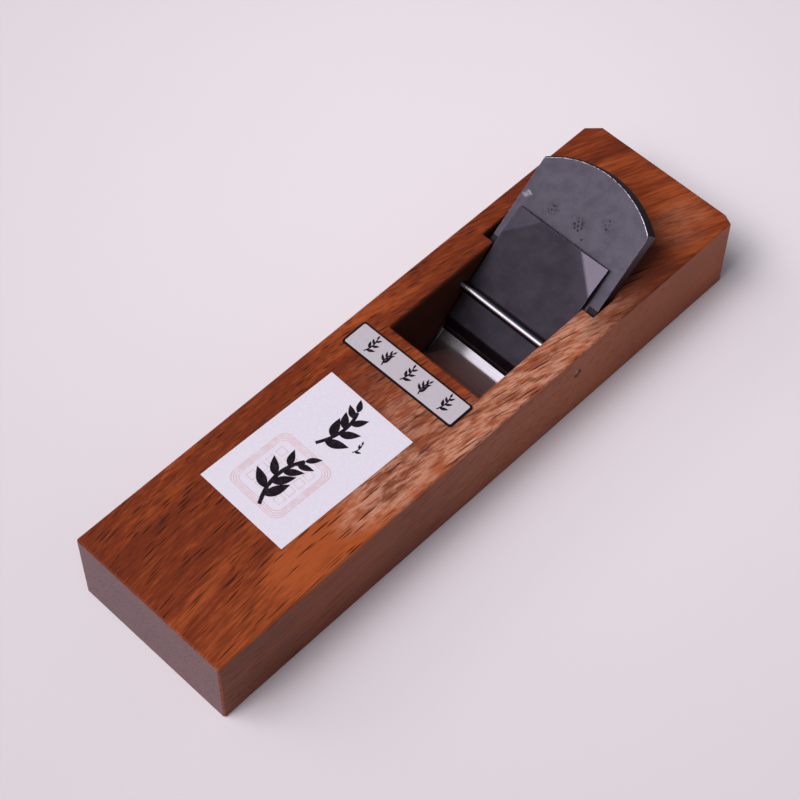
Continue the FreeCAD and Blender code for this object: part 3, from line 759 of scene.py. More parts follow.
def make_bright(name, colour, roughness, line_scale, glint_end=None):
    """Bright steel with fine lines. line_scale is how many there are in a millimetre along each axis.

    The pin has a painted highlight and a painted glint on its end. The blade's steel has ground parts and
    sides with painted shade instead.
    """
    material, nodes = new_finish(name)
    place = place_in_mm(nodes)
    lines_at = nodes.add("ShaderNodeMapping", None, {"Vector": place, "Scale": line_scale})
    lines = nodes.noise(lines_at, 1.0, 3.0, 0.7)
    breath = nodes.noise(place, 0.15, 3.0)
    shade = nodes.colours(lines.step(0.3, 0.7), [0.88 * part for part in colour], colour)
    rough = roughness + lines * 0.05 + breath * 0.08
    metallic = 1.0
    if glint_end is None:
        ground, painted_shade = dull_steel(nodes, breath)
        shade = nodes.colours(ground, shade, GROUND_STEEL)
        # Painted shade on the sides, where the steel mirrors the dark throat walls.
        shade = nodes.colours(painted_shade, shade, SIDE_SHADE_STEEL)
        rough = rough + ground.most(painted_shade) * (GROUND_ROUGHNESS - roughness)
    else:
        painted_highlight, painted_glint = pin_faces(nodes, glint_end)
        # Painted highlight along the side of the pin that faces the window, painted shade on the rest.
        shade = nodes.colours(painted_highlight, PIN_SHADE_STEEL, shade)
        # Painted glint: the pin's end is painted pale and almost not metallic.
        shade = nodes.colours(painted_glint, shade, PIN_END_GLINT)
        rough = rough + painted_glint * GLINT_ROUGHNESS
        metallic = 1.0 - painted_glint * 0.85
    complete(nodes, {"Base Color": shade, "Metallic": metallic, "Roughness": rough}, lines, LINE_DEPTH, 0.5)
    return material


polished_steel = make_bright(
    "steel_polished", (0.65, 0.635, 0.68), roughness=0.11, line_scale=(0.15, 9.0, 9.0))
drawn_steel = make_bright(
    "steel_drawn", (0.86, 0.84, 0.88), roughness=0.15, line_scale=(0.6, 5.0, 5.0), glint_end=pin_high.x / MM)

# %% [markdown]
# ## Working on the solids
# A loaded solid is a heap of loose triangles, and it is never changed. A copy of it is merged, and its flat
# faces are joined up, which leaves the true edges of the piece. Real edges are never knife sharp: each one is
# eased with a small round, and that round is what catches the light.

# %% Copy, ease and show
MERGE_DISTANCE = 0.001 * MM
FLAT_ANGLE = math.radians(0.4)
SMOOTH_ANGLE = math.radians(34)


def copy_of(node):
    """A merged copy of a solid's mesh, with its flat faces joined up."""
    shape = bmesh.new()
    shape.from_mesh(frame["nodes"][node].data)
    bmesh.ops.remove_doubles(shape, verts=shape.verts, dist=MERGE_DISTANCE)
    bmesh.ops.dissolve_limit(shape, angle_limit=FLAT_ANGLE, verts=shape.verts, edges=shape.edges)
    shape.faces.layers.float.new("worn_edge")
    shape.faces.layers.float.new("scaled")
    return shape


def ease(shape, size, least_angle, steps, chosen=None, wear=1.0):
    """Round the edges that are sharper than the least angle, and write the wear on the new faces."""
    edges = [edge for edge in shape.edges if edge.is_manifold and edge.calc_face_angle() > least_angle
             and (chosen is None or chosen(edge))]
    made = bmesh.ops.bevel(shape, geom=edges, offset=size, offset_type="OFFSET", segments=steps,
                           profile=0.5, affect="EDGES", clamp_overlap=True)
    worn = shape.faces.layers.float["worn_edge"]
    for face in made["faces"]:
        face[worn] = wear
    print(len(edges), "edges eased")


def settle(piece):
    """Turn a piece and its modifiers into one plain mesh."""
    graph = bpy.context.evaluated_depsgraph_get()
    plain = bpy.data.meshes.new_from_object(piece.evaluated_get(graph), preserve_all_data_layers=True,
                                            depsgraph=graph)
    before = piece.data
    piece.modifiers.clear()
    piece.data = plain
    bpy.data.meshes.remove(before)
    plain.name = piece.name


def show(name, shape, material, body, slot, *nodes):
    """Make the shape an object that rides on a body and stands for the solids named."""
    for edge in shape.edges:
        if edge.is_manifold:
            edge.smooth = edge.calc_face_angle() < SMOOTH_ANGLE
    for face in shape.faces:
        face.smooth = True
    mesh = bpy.data.meshes.new(name)
    shape.to_mesh(mesh)
    shape.free()
    mesh.materials.append(material)
    piece = bpy.data.objects.new(name, mesh)
    bpy.context.scene.collection.objects.link(piece)
    weighted = piece.modifiers.new("weighted", "WEIGHTED_NORMAL")
    weighted.keep_sharp = True
    settle(piece)
    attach(piece, body)
    if nodes:
        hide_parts(*nodes)
    print(name, len(piece.data.polygons), "faces")


def dress(name, node, material, body, slot, size, least_angle, steps=2):
    """Copy a solid, ease its edges and show the copy in its place."""
    shape = copy_of(node)
    ease(shape, size, least_angle, steps)
    show(name, shape, material, body, slot, node)


# %% [markdown]
# ## Block
# The block is planed, so its faces are flat and only its edges are soft. The solid already has the chamfers
# that the maker cuts, and here each of their edges gets a finer round.

# %% Block
BLOCK_EASE, BLOCK_ANGLE = 0.14 * MM, math.radians(20)

dress("block", "dai_block", oak, "block", "oak", BLOCK_EASE, BLOCK_ANGLE)

# %% [markdown]
# ## Blade iron
# The head is cut round and its rim is chamfered with a file. The chamfer is still black, and the edge between
# it and the face is worn bright. Years of hammer taps have nicked that edge, so it wanders a little.
# The faces are told apart by how far they lean: the dot product of two directions is 1 where they agree and 0
# where they are square to each other.

# %% Blade iron
RIM_EASE, RIM_ANGLE = 0.12 * MM, math.radians(8)
BLADE_EASE, BLADE_ANGLE = 0.16 * MM, math.radians(50)
RIM_STEP = 0.7 * MM
RIM_WANDER, RIM_NOISE = 0.14 * MM, 0.9 / MM
HEAD_START, HEAD_MIDDLE = 42.5 * MM, 45.0 * MM
FACE_LEAST = 0.99
RIM_LEAST, RIM_MOST = 0.15, 0.97
ARC_LEAST, ARC_UPWARDS = -0.2, 0.05
ON_FACE = 0.005 * MM


def turned_out(face):
    """1 on the blade's face, less on the chamfer and 0 on the sides."""
    return face.normal.dot(out_of_face)


def on_face(face):
    return turned_out(face) > FACE_LEAST


def on_rim(face):
    return RIM_LEAST < turned_out(face) < RIM_MOST


def on_arc(face):
    """Whether a face belongs to the rounded end of the head, chamfer or thickness."""
    in_head = (from_blade @ face.calc_center_median()).y > HEAD_START
    return in_head and ARC_LEAST < turned_out(face) < RIM_MOST and face.normal.dot(up_face) > ARC_UPWARDS


def between_face_and_rim(edge):
    return any(map(on_face, edge.link_faces)) and any(map(on_rim, edge.link_faces))


def off_rim(edge):
    return not any(map(on_rim, edge.link_faces))


def nick_rim(shape):
    """Cut the rim's edges short and let the points in the blade's face wander inwards."""
    rim = [face for face in shape.faces if on_rim(face)]
    long_edges = {edge for face in rim for edge in face.edges if edge.calc_length() > RIM_STEP}
    bmesh.ops.subdivide_edges(shape, edges=list(long_edges), cuts=1)
    middle = blade_frame @ Vector((0, HEAD_MIDDLE, 0))
    for point in shape.verts:
        local = from_blade @ point.co
        if abs(local.z) < ON_FACE and local.y > HEAD_START:
            inwards = (middle - point.co).normalized()
            point.co += inwards * (RIM_WANDER * (0.5 + noise.noise(point.co * RIM_NOISE)))
    print(len(rim), "faces of the rim,", len(long_edges), "edges cut")


iron_shape = copy_of("blade_iron")
scaled_layer = iron_shape.faces.layers.float["scaled"]
for face in iron_shape.faces:
    face[scaled_layer] = 1.0 if on_rim(face) or on_arc(face) else 0.0
nick_rim(iron_shape)
ease(iron_shape, RIM_EASE, RIM_ANGLE, 2, between_face_and_rim)
ease(iron_shape, BLADE_EASE, BLADE_ANGLE, 2, off_rim)
show("blade_body", iron_shape, forged_iron, "blade", "forged_iron", "blade_iron")

# %% [markdown]
# ## Blade steel
# Hard steel is forge-welded to the face of the blade. Its face, the ura, is ground hollow so that only a rim
# has to be kept flat. The hollow is a shallow dish: an arc along the blade that fades out towards the sides.
# A formula gives its depth at each point of a fine grid, because a mirror shows every facet.

# %% Blade steel
STEEL_LENGTH = 42.0 * MM
STEEL_THICKNESS = 1.6 * MM
STEEL_BEVEL = math.radians(28)
CORNER_WIDTH, CORNER_LENGTH = 3.0 * MM, 5.0 * MM
HOLLOW_START, HOLLOW_LENGTH, HOLLOW_DEPTH = 6.3 * MM, 26.0 * MM, 0.95 * MM
HOLLOW_LAND, HOLLOW_FADE = 2.0 * MM, 0.6 * MM
HOLLOW_RADIUS = HOLLOW_LENGTH ** 2 / (8 * HOLLOW_DEPTH) + HOLLOW_DEPTH / 2
STEEL_ROWS, STEEL_COLUMNS = 84, 48


def hollow_depth(across, up):
    """How far the ura is ground away at a place on the blade."""
    from_middle = up - HOLLOW_START - HOLLOW_LENGTH / 2
    if abs(from_middle) >= HOLLOW_LENGTH / 2:
        return 0.0
    arc = math.sqrt(HOLLOW_RADIUS ** 2 - from_middle ** 2) - (HOLLOW_RADIUS - HOLLOW_DEPTH)
    inside = (blade_half_width - HOLLOW_LAND + HOLLOW_FADE / 2 - abs(across)) / HOLLOW_FADE
    share = min(max(inside, 0.0), 1.0)
    return arc * share * share * (3 - 2 * share)


def steel_half_width(up):
    """The clipped lower corners widen to the full blade."""
    return blade_half_width - CORNER_WIDTH * max(0.0, 1 - up / CORNER_LENGTH)


def steel_rows(shape):
    """Rows of points on the face and on the back. The first row is the cutting edge, which both share."""
    face_rows, back_rows = [], []
    for row in range(STEEL_ROWS + 1):
        up = STEEL_LENGTH * row / STEEL_ROWS
        thickness = min(STEEL_THICKNESS, up * math.tan(STEEL_BEVEL))
        face_row, back_row = [], []
        for column in range(STEEL_COLUMNS + 1):
            across = steel_half_width(up) * (2 * column / STEEL_COLUMNS - 1)
            top = Vector((across, up, -hollow_depth(across, up)))
            face_row.append(shape.verts.new(blade_frame @ top))
            if row:
                back_row.append(shape.verts.new(blade_frame @ Vector((across, up, -thickness))))
        face_rows.append(face_row)
        back_rows.append(back_row if row else face_row)
    return face_rows, back_rows


def panel(shape, first, second, index, turned=False):
    """A face between two rows of points, from one point of each to the next."""
    corners = [first[index], first[index + 1], second[index + 1], second[index]]
    corners = list(dict.fromkeys(corners))
    shape.faces.new(corners[::-1] if turned else corners)


def make_steel_shape():
    """A face and a back, closed along both sides and at the top."""
    shape = bmesh.new()
    shape.faces.layers.float.new("worn_edge")
    face_rows, back_rows = steel_rows(shape)
    for row in range(STEEL_ROWS):
        for column in range(STEEL_COLUMNS):
            panel(shape, face_rows[row], face_rows[row + 1], column)
            panel(shape, back_rows[row], back_rows[row + 1], column, turned=True)
    for column, turned in ((0, False), (STEEL_COLUMNS, True)):
        face_side = [points[column] for points in face_rows]
        back_side = [points[column] for points in back_rows]
        for row in range(STEEL_ROWS):
            panel(shape, face_side, back_side, row, turned)
    for column in range(STEEL_COLUMNS):
        panel(shape, face_rows[-1], back_rows[-1], column)
    bmesh.ops.recalc_face_normals(shape, faces=shape.faces)
    return shape


show("blade_facing", make_steel_shape(), polished_steel, "blade", "blade_steel", "blade_steel")

# %% [markdown]
# ## Cap iron
# The cap iron is a plain plate. Its two upper corners are bent down cold, so that it springs against the
# blade, and its lower edge is bevelled and faced with steel. A cold bend is a wide round without any wear, so
# the folds are eased first and by more.

# %% Cap iron
FOLD_EASE, FOLD_LEAST, FOLD_MOST = 0.5 * MM, math.radians(5), math.radians(40)
CAP_EASE, FACING_EASE = 0.11 * MM, 0.04 * MM
SQUARE_ANGLE = math.radians(60)


def is_fold(edge):
    return edge.calc_face_angle() < FOLD_MOST


cap_shape = copy_of("cap_iron")
ease(cap_shape, FOLD_EASE, FOLD_LEAST, 4, is_fold, wear=0.0)
ease(cap_shape, CAP_EASE, FOLD_MOST, 2)
show("cap_plate", cap_shape, black_iron, "cap", "blackened_iron", "cap_iron")
dress("cap_facing", "cap_steel", black_iron, "cap", "blackened_iron", FACING_EASE, SQUARE_ANGLE, steps=1)

# %% [markdown]
# ## Pin
# The pin is drawn steel rod with its ends rounded off. A turned piece is a profile swept round its axis, so
# only the profile is written down: how far along the rod, and how far from the axis.

# %% Pin
PIN_SIDES = 72
PIN_ROUND, PIN_ROUND_STEPS = 0.15 * MM, 5

pin_radius = (pin_high.z - pin_low.z) / 2
pin_middle = pin_place * MM


def pin_profile():
    """Points from one end of the rod to the other, with a quarter round at each end."""
    quarter = [math.pi / 2 * step / PIN_ROUND_STEPS for step in range(PIN_ROUND_STEPS + 1)]
    half = (pin_high.x - pin_low.x) / 2
    left = [(-half + PIN_ROUND * (1 - math.sin(turn)), pin_radius - PIN_ROUND * (1 - math.cos(turn)))
            for turn in reversed(quarter)]
    right = [(-along, radius) for along, radius in reversed(left)]
    return left + right


def pin_ring(shape, along, radius):
    """A circle of points round the rod."""
    turns = [2 * math.pi * side / PIN_SIDES for side in range(PIN_SIDES)]
    return [shape.verts.new(pin_middle + Vector((along, radius * math.cos(turn), radius * math.sin(turn))))
            for turn in turns]


def make_pin_shape():
    shape = bmesh.new()
    shape.faces.layers.float.new("worn_edge")
    rings = [pin_ring(shape, along, radius) for along, radius in pin_profile()]
    for first, second in zip(rings, rings[1:]):
        for side in range(PIN_SIDES):
            following = (side + 1) % PIN_SIDES
            shape.faces.new([first[side], first[following], second[following], second[side]])
    shape.faces.new(rings[0])
    shape.faces.new(rings[-1])
    bmesh.ops.recalc_face_normals(shape, faces=shape.faces)
    return shape


show("pin", make_pin_shape(), drawn_steel, "block", "bright_steel", "pressing_pin")

# %% [markdown]
# ## Labels
# Two labels are glued to the top: a large sheet of white paper, and a narrow silvery strip with a printed
# dark border. Paper is never quite even, so its fibres show faintly in the colour and in the bump. The border
# could be a second sheet. It is a colour instead, worked out from the distance to the strip's own edges.

# %% Label finishes
STRIP_TURN = math.radians(0.3)
STRIP_BORDER, STRIP_CORNER, STRIP_FADE = 0.75, 0.35, 0.06
FIBRE_TURN, FIBRE_SCALE = 0.6, (2.5, 14.0, 6.0)
PAPER_DULL, PAPER_WHITE = (0.705, 0.68, 0.76), (0.75, 0.725, 0.80)
SILVER_DARK, SILVER_LIGHT = (0.46, 0.425, 0.465), (0.57, 0.53, 0.575)
BORDER_COLOUR = (0.010, 0.006, 0.008)
PAPER_RELIEF, SILVER_RELIEF = 0.02 * MM, 0.01 * MM


def make_paper():
    material, nodes = new_finish("paper_white")
    place = place_in_mm(nodes)
    pulp = nodes.noise(place, 1.3, 4.0, 0.7)
    fibres_at = nodes.add("ShaderNodeMapping", None, {
        "Vector": place, "Rotation": (0, 0, FIBRE_TURN), "Scale": FIBRE_SCALE,
    })
    fibres = nodes.noise(fibres_at, 1.0, 3.0, 0.6)
    colour = nodes.colours(pulp.step(0.3, 0.7), PAPER_DULL, PAPER_WHITE)
    complete(nodes, {"Base Color": colour, "Roughness": 0.72, "Specular IOR Level": 0.25},
             fibres * 0.5 + pulp * 0.5, PAPER_RELIEF, 0.5)
    return material


def strip_border(nodes, place):
    """1 on the border of the strip and 0 within it."""
    low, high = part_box("strip_label")
    middle = (low + high) / (2 * MM)
    half = (high - low) / (2 * MM)
    local = nodes.add("ShaderNodeMapping", {"vector_type": "TEXTURE"}, {
        "Vector": place, "Location": (middle.x, middle.y, 0), "Rotation": (0, 0, STRIP_TURN),
    })
    across, along, _ = nodes.parts(local)
    side_edge = half.x - across.absolute()
    end_edge = half.y - along.absolute()
    inside = side_edge.least(end_edge).least(side_edge + end_edge - STRIP_CORNER - STRIP_BORDER)
    return inside.step(STRIP_BORDER + STRIP_FADE, STRIP_BORDER - STRIP_FADE)


def make_strip():
    material, nodes = new_finish("paper_silver")
    place = place_in_mm(nodes)
    flakes = nodes.noise(place, 6.0, 2.0, 0.6)
    silver = nodes.colours(flakes.step(0.3, 0.7), SILVER_DARK, SILVER_LIGHT)
    colour = nodes.colours(strip_border(nodes, place), silver, BORDER_COLOUR)
    complete(nodes, {"Base Color": colour, "Roughness": 0.45 + flakes * 0.1, "Specular IOR Level": 0.12},
             flakes, SILVER_RELIEF, 0.4)
    return material


white_paper = make_paper()
silver_paper = make_strip()

# %% [markdown]
# The sheets themselves are thin boxes, so they need no more than a round on their edges. The large one is so
# thin that the round is a third of its thickness.

# %% Labels
PAPER_EASE, STRIP_EASE = 0.05 * MM, 0.12 * MM

dress("paper_sheet", "paper_label", white_paper, "block", "white_paper", PAPER_EASE, SQUARE_ANGLE)
dress("strip_sheet", "strip_label", silver_paper, "block", "silver_paper", STRIP_EASE, SQUARE_ANGLE)

# %% [markdown]
# ## Printed sprigs
# The labels carry leafy sprigs in black ink. A sprig grows by a rule, so Geometry Nodes make it: a bent stem
# that thins towards its tip, and leaves along it that take turns to the left and to the right and get
# smaller. The rule is written once, with named inputs, and each sprig is the same rule with other numbers.

# %% A geometry tree with named inputs
INPUT_KINDS = {float: "NodeSocketFloat", int: "NodeSocketInt", Vector: "NodeSocketVector"}


class Recipe(Nodes):
    """A Geometry Nodes tree. Its inputs have names, and start with the values given."""

    def __init__(self, name, values):
        tree = bpy.data.node_groups.new(name, "GeometryNodeTree")
        super().__init__(tree)
        tree.interface.new_socket("Geometry", in_out="OUTPUT", socket_type="NodeSocketGeometry")
        for label, value in values.items():
            item = tree.interface.new_socket(label, in_out="INPUT", socket_type=INPUT_KINDS[type(value)])
            item.default_value = value
        tree.interface.new_socket("Finish", in_out="INPUT", socket_type="NodeSocketMaterial")
        self.start = tree.nodes.new("NodeGroupInput")

    def given(self, label):
        return Wire(self, self.start.outputs[label])

    def join(self, *geometry):
        """Put several pieces of geometry together."""
        joined = self.add("GeometryNodeJoinGeometry")
        for piece in geometry:
            self.tree.links.new(piece.socket, joined.socket.node.inputs["Geometry"])
        return joined

    def end(self, geometry):
        """Make instances real, move the result to its place and give it its material."""
        real = self.add("GeometryNodeRealizeInstances", None, {"Geometry": geometry})
        turn = self.vector(0.0, 0.0, self.given("Turn"))
        placed = self.add("GeometryNodeTransform", None, {
            "Geometry": real, "Translation": self.given("Place"), "Rotation": turn,
        })
        finished = self.add("GeometryNodeSetMaterial", None, {
            "Geometry": placed, "Material": self.given("Finish"),
        })
        self.add("NodeGroupOutput", None, {"Geometry": finished})


def grow(recipe, finish, values):
    """Run a recipe with its own values on an empty mesh, and return the mesh that it makes."""
    seed = bpy.data.meshes.new("seed")
    carrier = bpy.data.objects.new("carrier", seed)
    bpy.context.scene.collection.objects.link(carrier)
    modifier = carrier.modifiers.new("recipe", "NODES")
    modifier.node_group = recipe.tree
    given = {"Finish": finish, **values}
    for item in recipe.tree.interface.items_tree:
        if item.in_out == "INPUT" and item.name in given:
            value = given[item.name]
            modifier[item.identifier] = list(value) if isinstance(value, Vector) else value
    graph = bpy.context.evaluated_depsgraph_get()
    grown = bpy.data.meshes.new_from_object(carrier.evaluated_get(graph), depsgraph=graph)
    bpy.data.objects.remove(carrier)
    bpy.data.meshes.remove(seed)
    return grown


# %% [markdown]
# A leaf starts as a thin round disc. Its outline is a circle, and the rule moves each point: the width is
# multiplied by itself, which draws the two ends out into points, and the half near the stem stays fuller.
# The stem is a bent curve with a round profile that thins towards the tip and is pressed flat.

# %% Leaf and stem
LEAF_POINTS, LEAF_TAPER = 28, 0.35
STEM_POINTS, STEM_SIDES, STEM_THINNING = 24, 8, 0.7
STEM_MIDDLE, STEM_TIP_BEND = 0.55, 0.2


def make_leaf(recipe):
    disc = recipe.add("GeometryNodeMeshCylinder", {"fill_type": "NGON"}, {
        "Vertices": LEAF_POINTS, "Side Segments": 1, "Radius": 1.0, "Depth": recipe.given("Thickness"),
    }, "Mesh")
    x, y, z = recipe.parts(recipe.add("GeometryNodeInputPosition"))
    along = (x + 1.0) * 0.5 * recipe.given("Leaf Length")
    width = y * y.absolute() * (1.0 - x * LEAF_TAPER) * 0.5 * recipe.given("Leaf Width")
    drooped = width - along * along * recipe.given("Leaf Droop")
    return recipe.add("GeometryNodeSetPosition", None, {
        "Geometry": disc, "Position": recipe.vector(along, drooped, z),
    })


def make_stem_curve(recipe):
    height, bend = recipe.given("Height"), recipe.given("Bend")
    middle = recipe.vector(bend, height * STEM_MIDDLE, 0.0)
    tip = recipe.vector(bend * STEM_TIP_BEND, height, 0.0)
    return recipe.add("GeometryNodeCurveQuadraticBezier", None, {
        "Resolution": STEM_POINTS, "Start": (0, 0, 0), "Middle": middle, "End": tip,
    })


def make_stem(recipe, curve):
    share = recipe.add("GeometryNodeSplineParameter", None, None, "Factor")
    thinned = recipe.add("GeometryNodeSetCurveRadius", None, {
        "Curve": curve, "Radius": 1.0 - share * STEM_THINNING,
    })
    profile = recipe.add("GeometryNodeCurvePrimitiveCircle", None, {
        "Resolution": STEM_SIDES, "Radius": recipe.given("Stem Width") * 0.5,
    }, "Curve")
    rod = recipe.add("GeometryNodeCurveToMesh", None, {
        "Curve": thinned, "Profile Curve": profile, "Fill Caps": True,
    })
    flat = recipe.vector(1.0, 1.0, recipe.given("Thickness") / recipe.given("Stem Width"))
    return recipe.add("GeometryNodeTransform", None, {"Geometry": rod, "Scale": flat})


# %% [markdown]
# The leaves stand on points along the stem. Even points turn them to one side and odd points to the other,
# and the last leaf goes straight on. The rest of the point's number, divided by two, tells the side.

# %% Sprig recipe
FIRST_LEAF, LEAF_SHRINK = 0.16, 0.45


def place_leaves(recipe, curve):
    count = recipe.given("Leaves")
    upper = recipe.add("GeometryNodeTrimCurve", None, {"Curve": curve, 2: FIRST_LEAF, 3: 1.0})
    points = recipe.add("GeometryNodeCurveToPoints", {"mode": "COUNT"}, {"Curve": upper, "Count": count})
    tangent_x, tangent_y, _ = recipe.parts(points.other("Tangent"))
    index = recipe.add("GeometryNodeInputIndex")
    side = recipe.math("MODULO", index, 2.0) * 2.0 - 1.0
    last = recipe.math("COMPARE", index, count - 1.0)
    stem_angle = recipe.math("ARCTAN2", tangent_y, tangent_x)
    leaf_turn = recipe.vector(0.0, 0.0, stem_angle + side * recipe.given("Leaf Angle") * (1.0 - last))
    rotation = recipe.add("FunctionNodeEulerToRotation", None, {"Euler": leaf_turn})
    size = 1.0 - index / count * LEAF_SHRINK
    return recipe.add("GeometryNodeInstanceOnPoints", None, {
        "Points": points, "Instance": make_leaf(recipe), "Rotation": rotation,
        "Scale": recipe.vector(size, size * side, 1.0),
    })


def make_sprig_recipe():
    recipe = Recipe("sprig", {
        "Height": 10.0 * MM, "Bend": 2.0 * MM, "Leaves": 7, "Leaf Length": 5.0 * MM, "Leaf Width": 1.6 * MM,
        "Leaf Angle": math.radians(42), "Leaf Droop": 20.0, "Stem Width": 0.5 * MM, "Thickness": 0.05 * MM,
        "Turn": 0.0, "Place": Vector((0, 0, 0)),
    })
    curve = make_stem_curve(recipe)
    recipe.end(recipe.join(make_stem(recipe, curve), place_leaves(recipe, curve)))
    print(len(recipe.tree.nodes), "nodes in the sprig recipe")
    return recipe


sprig_recipe = make_sprig_recipe()

# %% [markdown]
# Behind the lower sprig is a frame in pale red: thin rounded rings, one inside the other, round a lattice of
# small squares. Rings of one shape at falling sizes are one curve put on a row of points.

# %% Frame recipe
CORNER_POINTS = 6


def make_line(recipe, curve, width):
    """A flat line along a closed curve."""
    profile = recipe.add("GeometryNodeCurvePrimitiveQuadrilateral", None, {
        "Width": width, "Height": recipe.given("Thickness"),
    })
    return recipe.add("GeometryNodeCurveToMesh", None, {"Curve": curve, "Profile Curve": profile})


def make_rings(recipe):
    """The rounded outline, once for each ring and each time smaller."""
    outline = recipe.add("GeometryNodeCurvePrimitiveQuadrilateral", None, {
        "Width": recipe.given("Width"), "Height": recipe.given("Length"),
    })
    rounded = recipe.add("GeometryNodeFilletCurve", {"mode": "POLY"}, {
        "Curve": outline, "Radius": recipe.given("Corner"), "Count": CORNER_POINTS, "Limit Radius": True,
    })
    row = recipe.add("GeometryNodeMeshLine", None, {"Count": recipe.given("Rings"), "Offset": (0, 0, 0)})
    size = 1.0 - recipe.add("GeometryNodeInputIndex") * recipe.given("Step")
    return recipe.add("GeometryNodeInstanceOnPoints", None, {
        "Points": row, "Instance": make_line(recipe, rounded, recipe.given("Line Width")),
        "Scale": recipe.vector(size, size, 1.0),
    })


def make_lattice(recipe):
    """A square on each point of a grid."""
    cell = recipe.add("GeometryNodeCurvePrimitiveQuadrilateral", None, {
        "Width": recipe.given("Cell"), "Height": recipe.given("Cell"),
    })
    columns, rows, spacing = recipe.given("Columns"), recipe.given("Rows"), recipe.given("Spacing")
    grid = recipe.add("GeometryNodeMeshGrid", None, {
        "Size X": spacing * (columns - 1.0), "Size Y": spacing * (rows - 1.0),
        "Vertices X": columns, "Vertices Y": rows,
    })
    return recipe.add("GeometryNodeInstanceOnPoints", None, {
        "Points": grid, "Instance": make_line(recipe, cell, recipe.given("Line Width")),
    })


def make_frame_recipe():
    recipe = Recipe("rounded_frame", {
        "Width": 20.0 * MM, "Length": 22.0 * MM, "Corner": 3.0 * MM, "Rings": 3, "Step": 0.09,
        "Columns": 3, "Rows": 3, "Cell": 2.6 * MM, "Spacing": 3.6 * MM, "Line Width": 0.22 * MM,
        "Thickness": 0.04 * MM, "Turn": 0.0, "Place": Vector((0, 0, 0)),
    })
    recipe.end(recipe.join(make_rings(recipe), make_lattice(recipe)))
    print(len(recipe.tree.nodes), "nodes in the frame recipe")
    return recipe


frame_recipe = make_frame_recipe()

# %% [markdown]
# Ink sinks into paper and covers it unevenly: it is a little thinner and browner where the brush ran dry. The
# red is thinned until the paper shows through, and patchy where the stamp pressed less.

# %% Ink
BLACK_DENSE, BLACK_THIN = (0.010, 0.006, 0.010), (0.026, 0.018, 0.025)
RED_DENSE, RED_THIN = (0.68, 0.42, 0.46), (0.73, 0.63, 0.69)
INK_RELIEF = 0.01 * MM


def make_ink(name, dense, thin, patch, roughness):
    """Matt ink. patch is the size of its thin places, in millimetres."""
    material, nodes = new_finish(name)
    spread = nodes.noise(place_in_mm(nodes), 1 / patch, 4.0, 0.65)
    colour = nodes.colours(spread.step(0.42, 0.68), dense, thin)
    complete(nodes, {"Base Color": colour, "Roughness": roughness + spread * 0.2, "Specular IOR Level": 0.10},
             spread, INK_RELIEF, 0.4)
    return material


black_ink = make_ink("ink_black", BLACK_DENSE, BLACK_THIN, patch=1.2, roughness=0.55)
red_ink = make_ink("ink_pale_red", RED_DENSE, RED_THIN, patch=2.2, roughness=0.6)

# %% [markdown]
# A print has no solid of its own: it is thin and lies on a label. So a place on a label is all that it needs.
# It is grown with half of its thickness in the paper, so that only the other half stands up.

# %% Places for the prints
INK_RISE, STAMP_RISE = 0.05 * MM, 0.03 * MM


def label_place(node, across, along, turn):
    """A place on a label's top, in millimetres across and along it from its middle."""
    low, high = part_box(node)
    middle = (low + high) / 2
    offset = Matrix.Rotation(turn, 3, "Z") @ Vector((across * MM, along * MM, 0))
    return Vector((middle.x, middle.y, high.z)) + offset


def sprig_at(node, across, along, turn, values):
    return grow(sprig_recipe, black_ink, {
        **values, "Place": label_place(node, across, along, turn), "Turn": turn, "Thickness": 2 * INK_RISE,
    })


def show_print(name, meshes, material, slot):
    """Join flat prints into one piece."""
    shape = bmesh.new()
    for mesh in meshes:
        shape.from_mesh(mesh)
        bpy.data.meshes.remove(mesh)
    bmesh.ops.recalc_face_normals(shape, faces=shape.faces)
    show(name, shape, material, "block", slot)


# %% [markdown]
# Three sprigs stand on the large label, which was glued on a little askew: two large ones, and a small one
# beside the upper of them. The red frame lies round the lower one.

# %% Prints on the large label
PAPER_TURN = math.radians(-1.5)

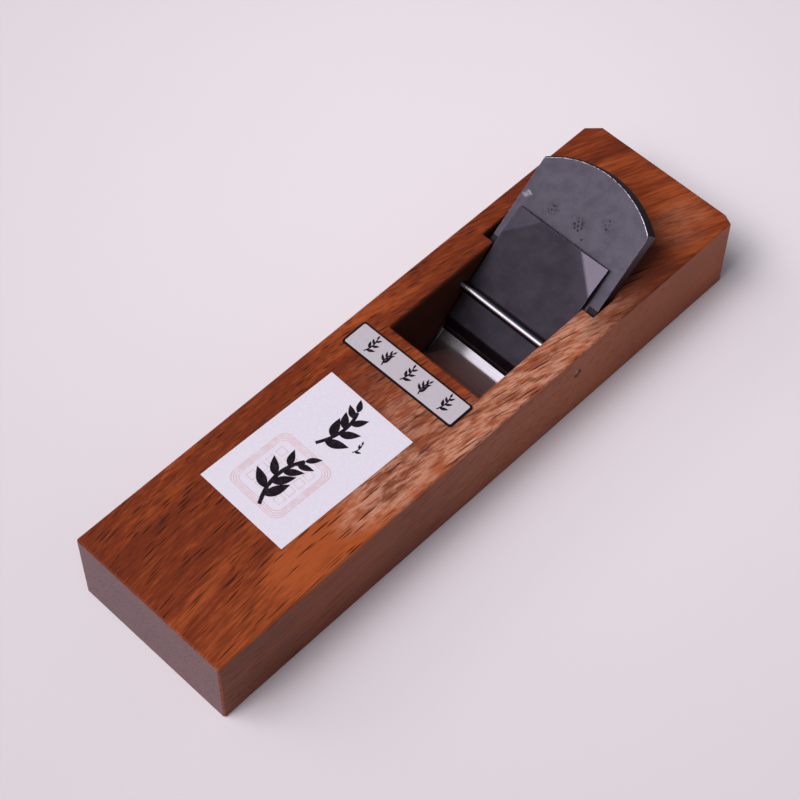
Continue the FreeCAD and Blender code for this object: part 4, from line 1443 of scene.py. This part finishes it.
large_sprigs = [
    sprig_at("paper_label", -2.2, 5.2, PAPER_TURN, {
        "Height": 15.5 * MM, "Bend": 4.5 * MM, "Leaves": 7, "Leaf Length": 7.4 * MM, "Leaf Width": 3.0 * MM,
        "Leaf Angle": math.radians(50), "Leaf Droop": 18.0, "Stem Width": 1.1 * MM,
    }),
    sprig_at("paper_label", 1.8, -19.8, PAPER_TURN, {
        "Height": 18.5 * MM, "Bend": -6.5 * MM, "Leaves": 8, "Leaf Length": 8.2 * MM, "Leaf Width": 3.1 * MM,
        "Leaf Angle": math.radians(54), "Leaf Droop": 16.0, "Stem Width": 1.3 * MM,
    }),
    sprig_at("paper_label", 7.4, 10.4, PAPER_TURN, {
        "Height": 3.6 * MM, "Bend": 1.0 * MM, "Leaves": 3, "Leaf Length": 2.0 * MM, "Leaf Width": 0.8 * MM,
        "Leaf Droop": 40.0, "Stem Width": 0.35 * MM,
    }),
]
show_print("paper_sprigs", large_sprigs, black_ink, "white_paper")
stamp = grow(frame_recipe, red_ink, {
    "Width": 20.5 * MM, "Length": 22.4 * MM, "Rings": 4, "Step": 0.055, "Columns": 4, "Rows": 4,
    "Cell": 2.5 * MM, "Spacing": 3.7 * MM, "Line Width": 0.26 * MM, "Thickness": 2 * STAMP_RISE,
    "Turn": PAPER_TURN, "Place": label_place("paper_label", -1.0, -9.2, PAPER_TURN),
})
show_print("paper_frame", [stamp], red_ink, "white_paper")

# %% [markdown]
# The narrow label has a row of small sprigs. They bend to one side and to the other in turn, and every other
# one is a little larger, because a row of equal ones would look stamped.

# %% Prints on the strip
SPRIG_COUNT, SPRIG_SPACING, SPRIG_FOOT = 5, 7.3, -3.0

small_sprigs = []
for index in range(SPRIG_COUNT):
    lean = (-1) ** index
    across = (index - SPRIG_COUNT // 2) * SPRIG_SPACING
    small_sprigs.append(sprig_at("strip_label", across, SPRIG_FOOT, STRIP_TURN, {
        "Height": (5.2 + 0.3 * lean) * MM, "Bend": 1.3 * lean * MM, "Leaves": 6 + index % 2,
        "Leaf Length": 2.7 * MM, "Leaf Width": (0.95 + 0.05 * lean) * MM,
        "Leaf Angle": math.radians(48 + 4 * lean), "Leaf Droop": 45.0, "Stem Width": 0.42 * MM,
    }))
show_print("strip_sprigs", small_sprigs, black_ink, "silver_paper")
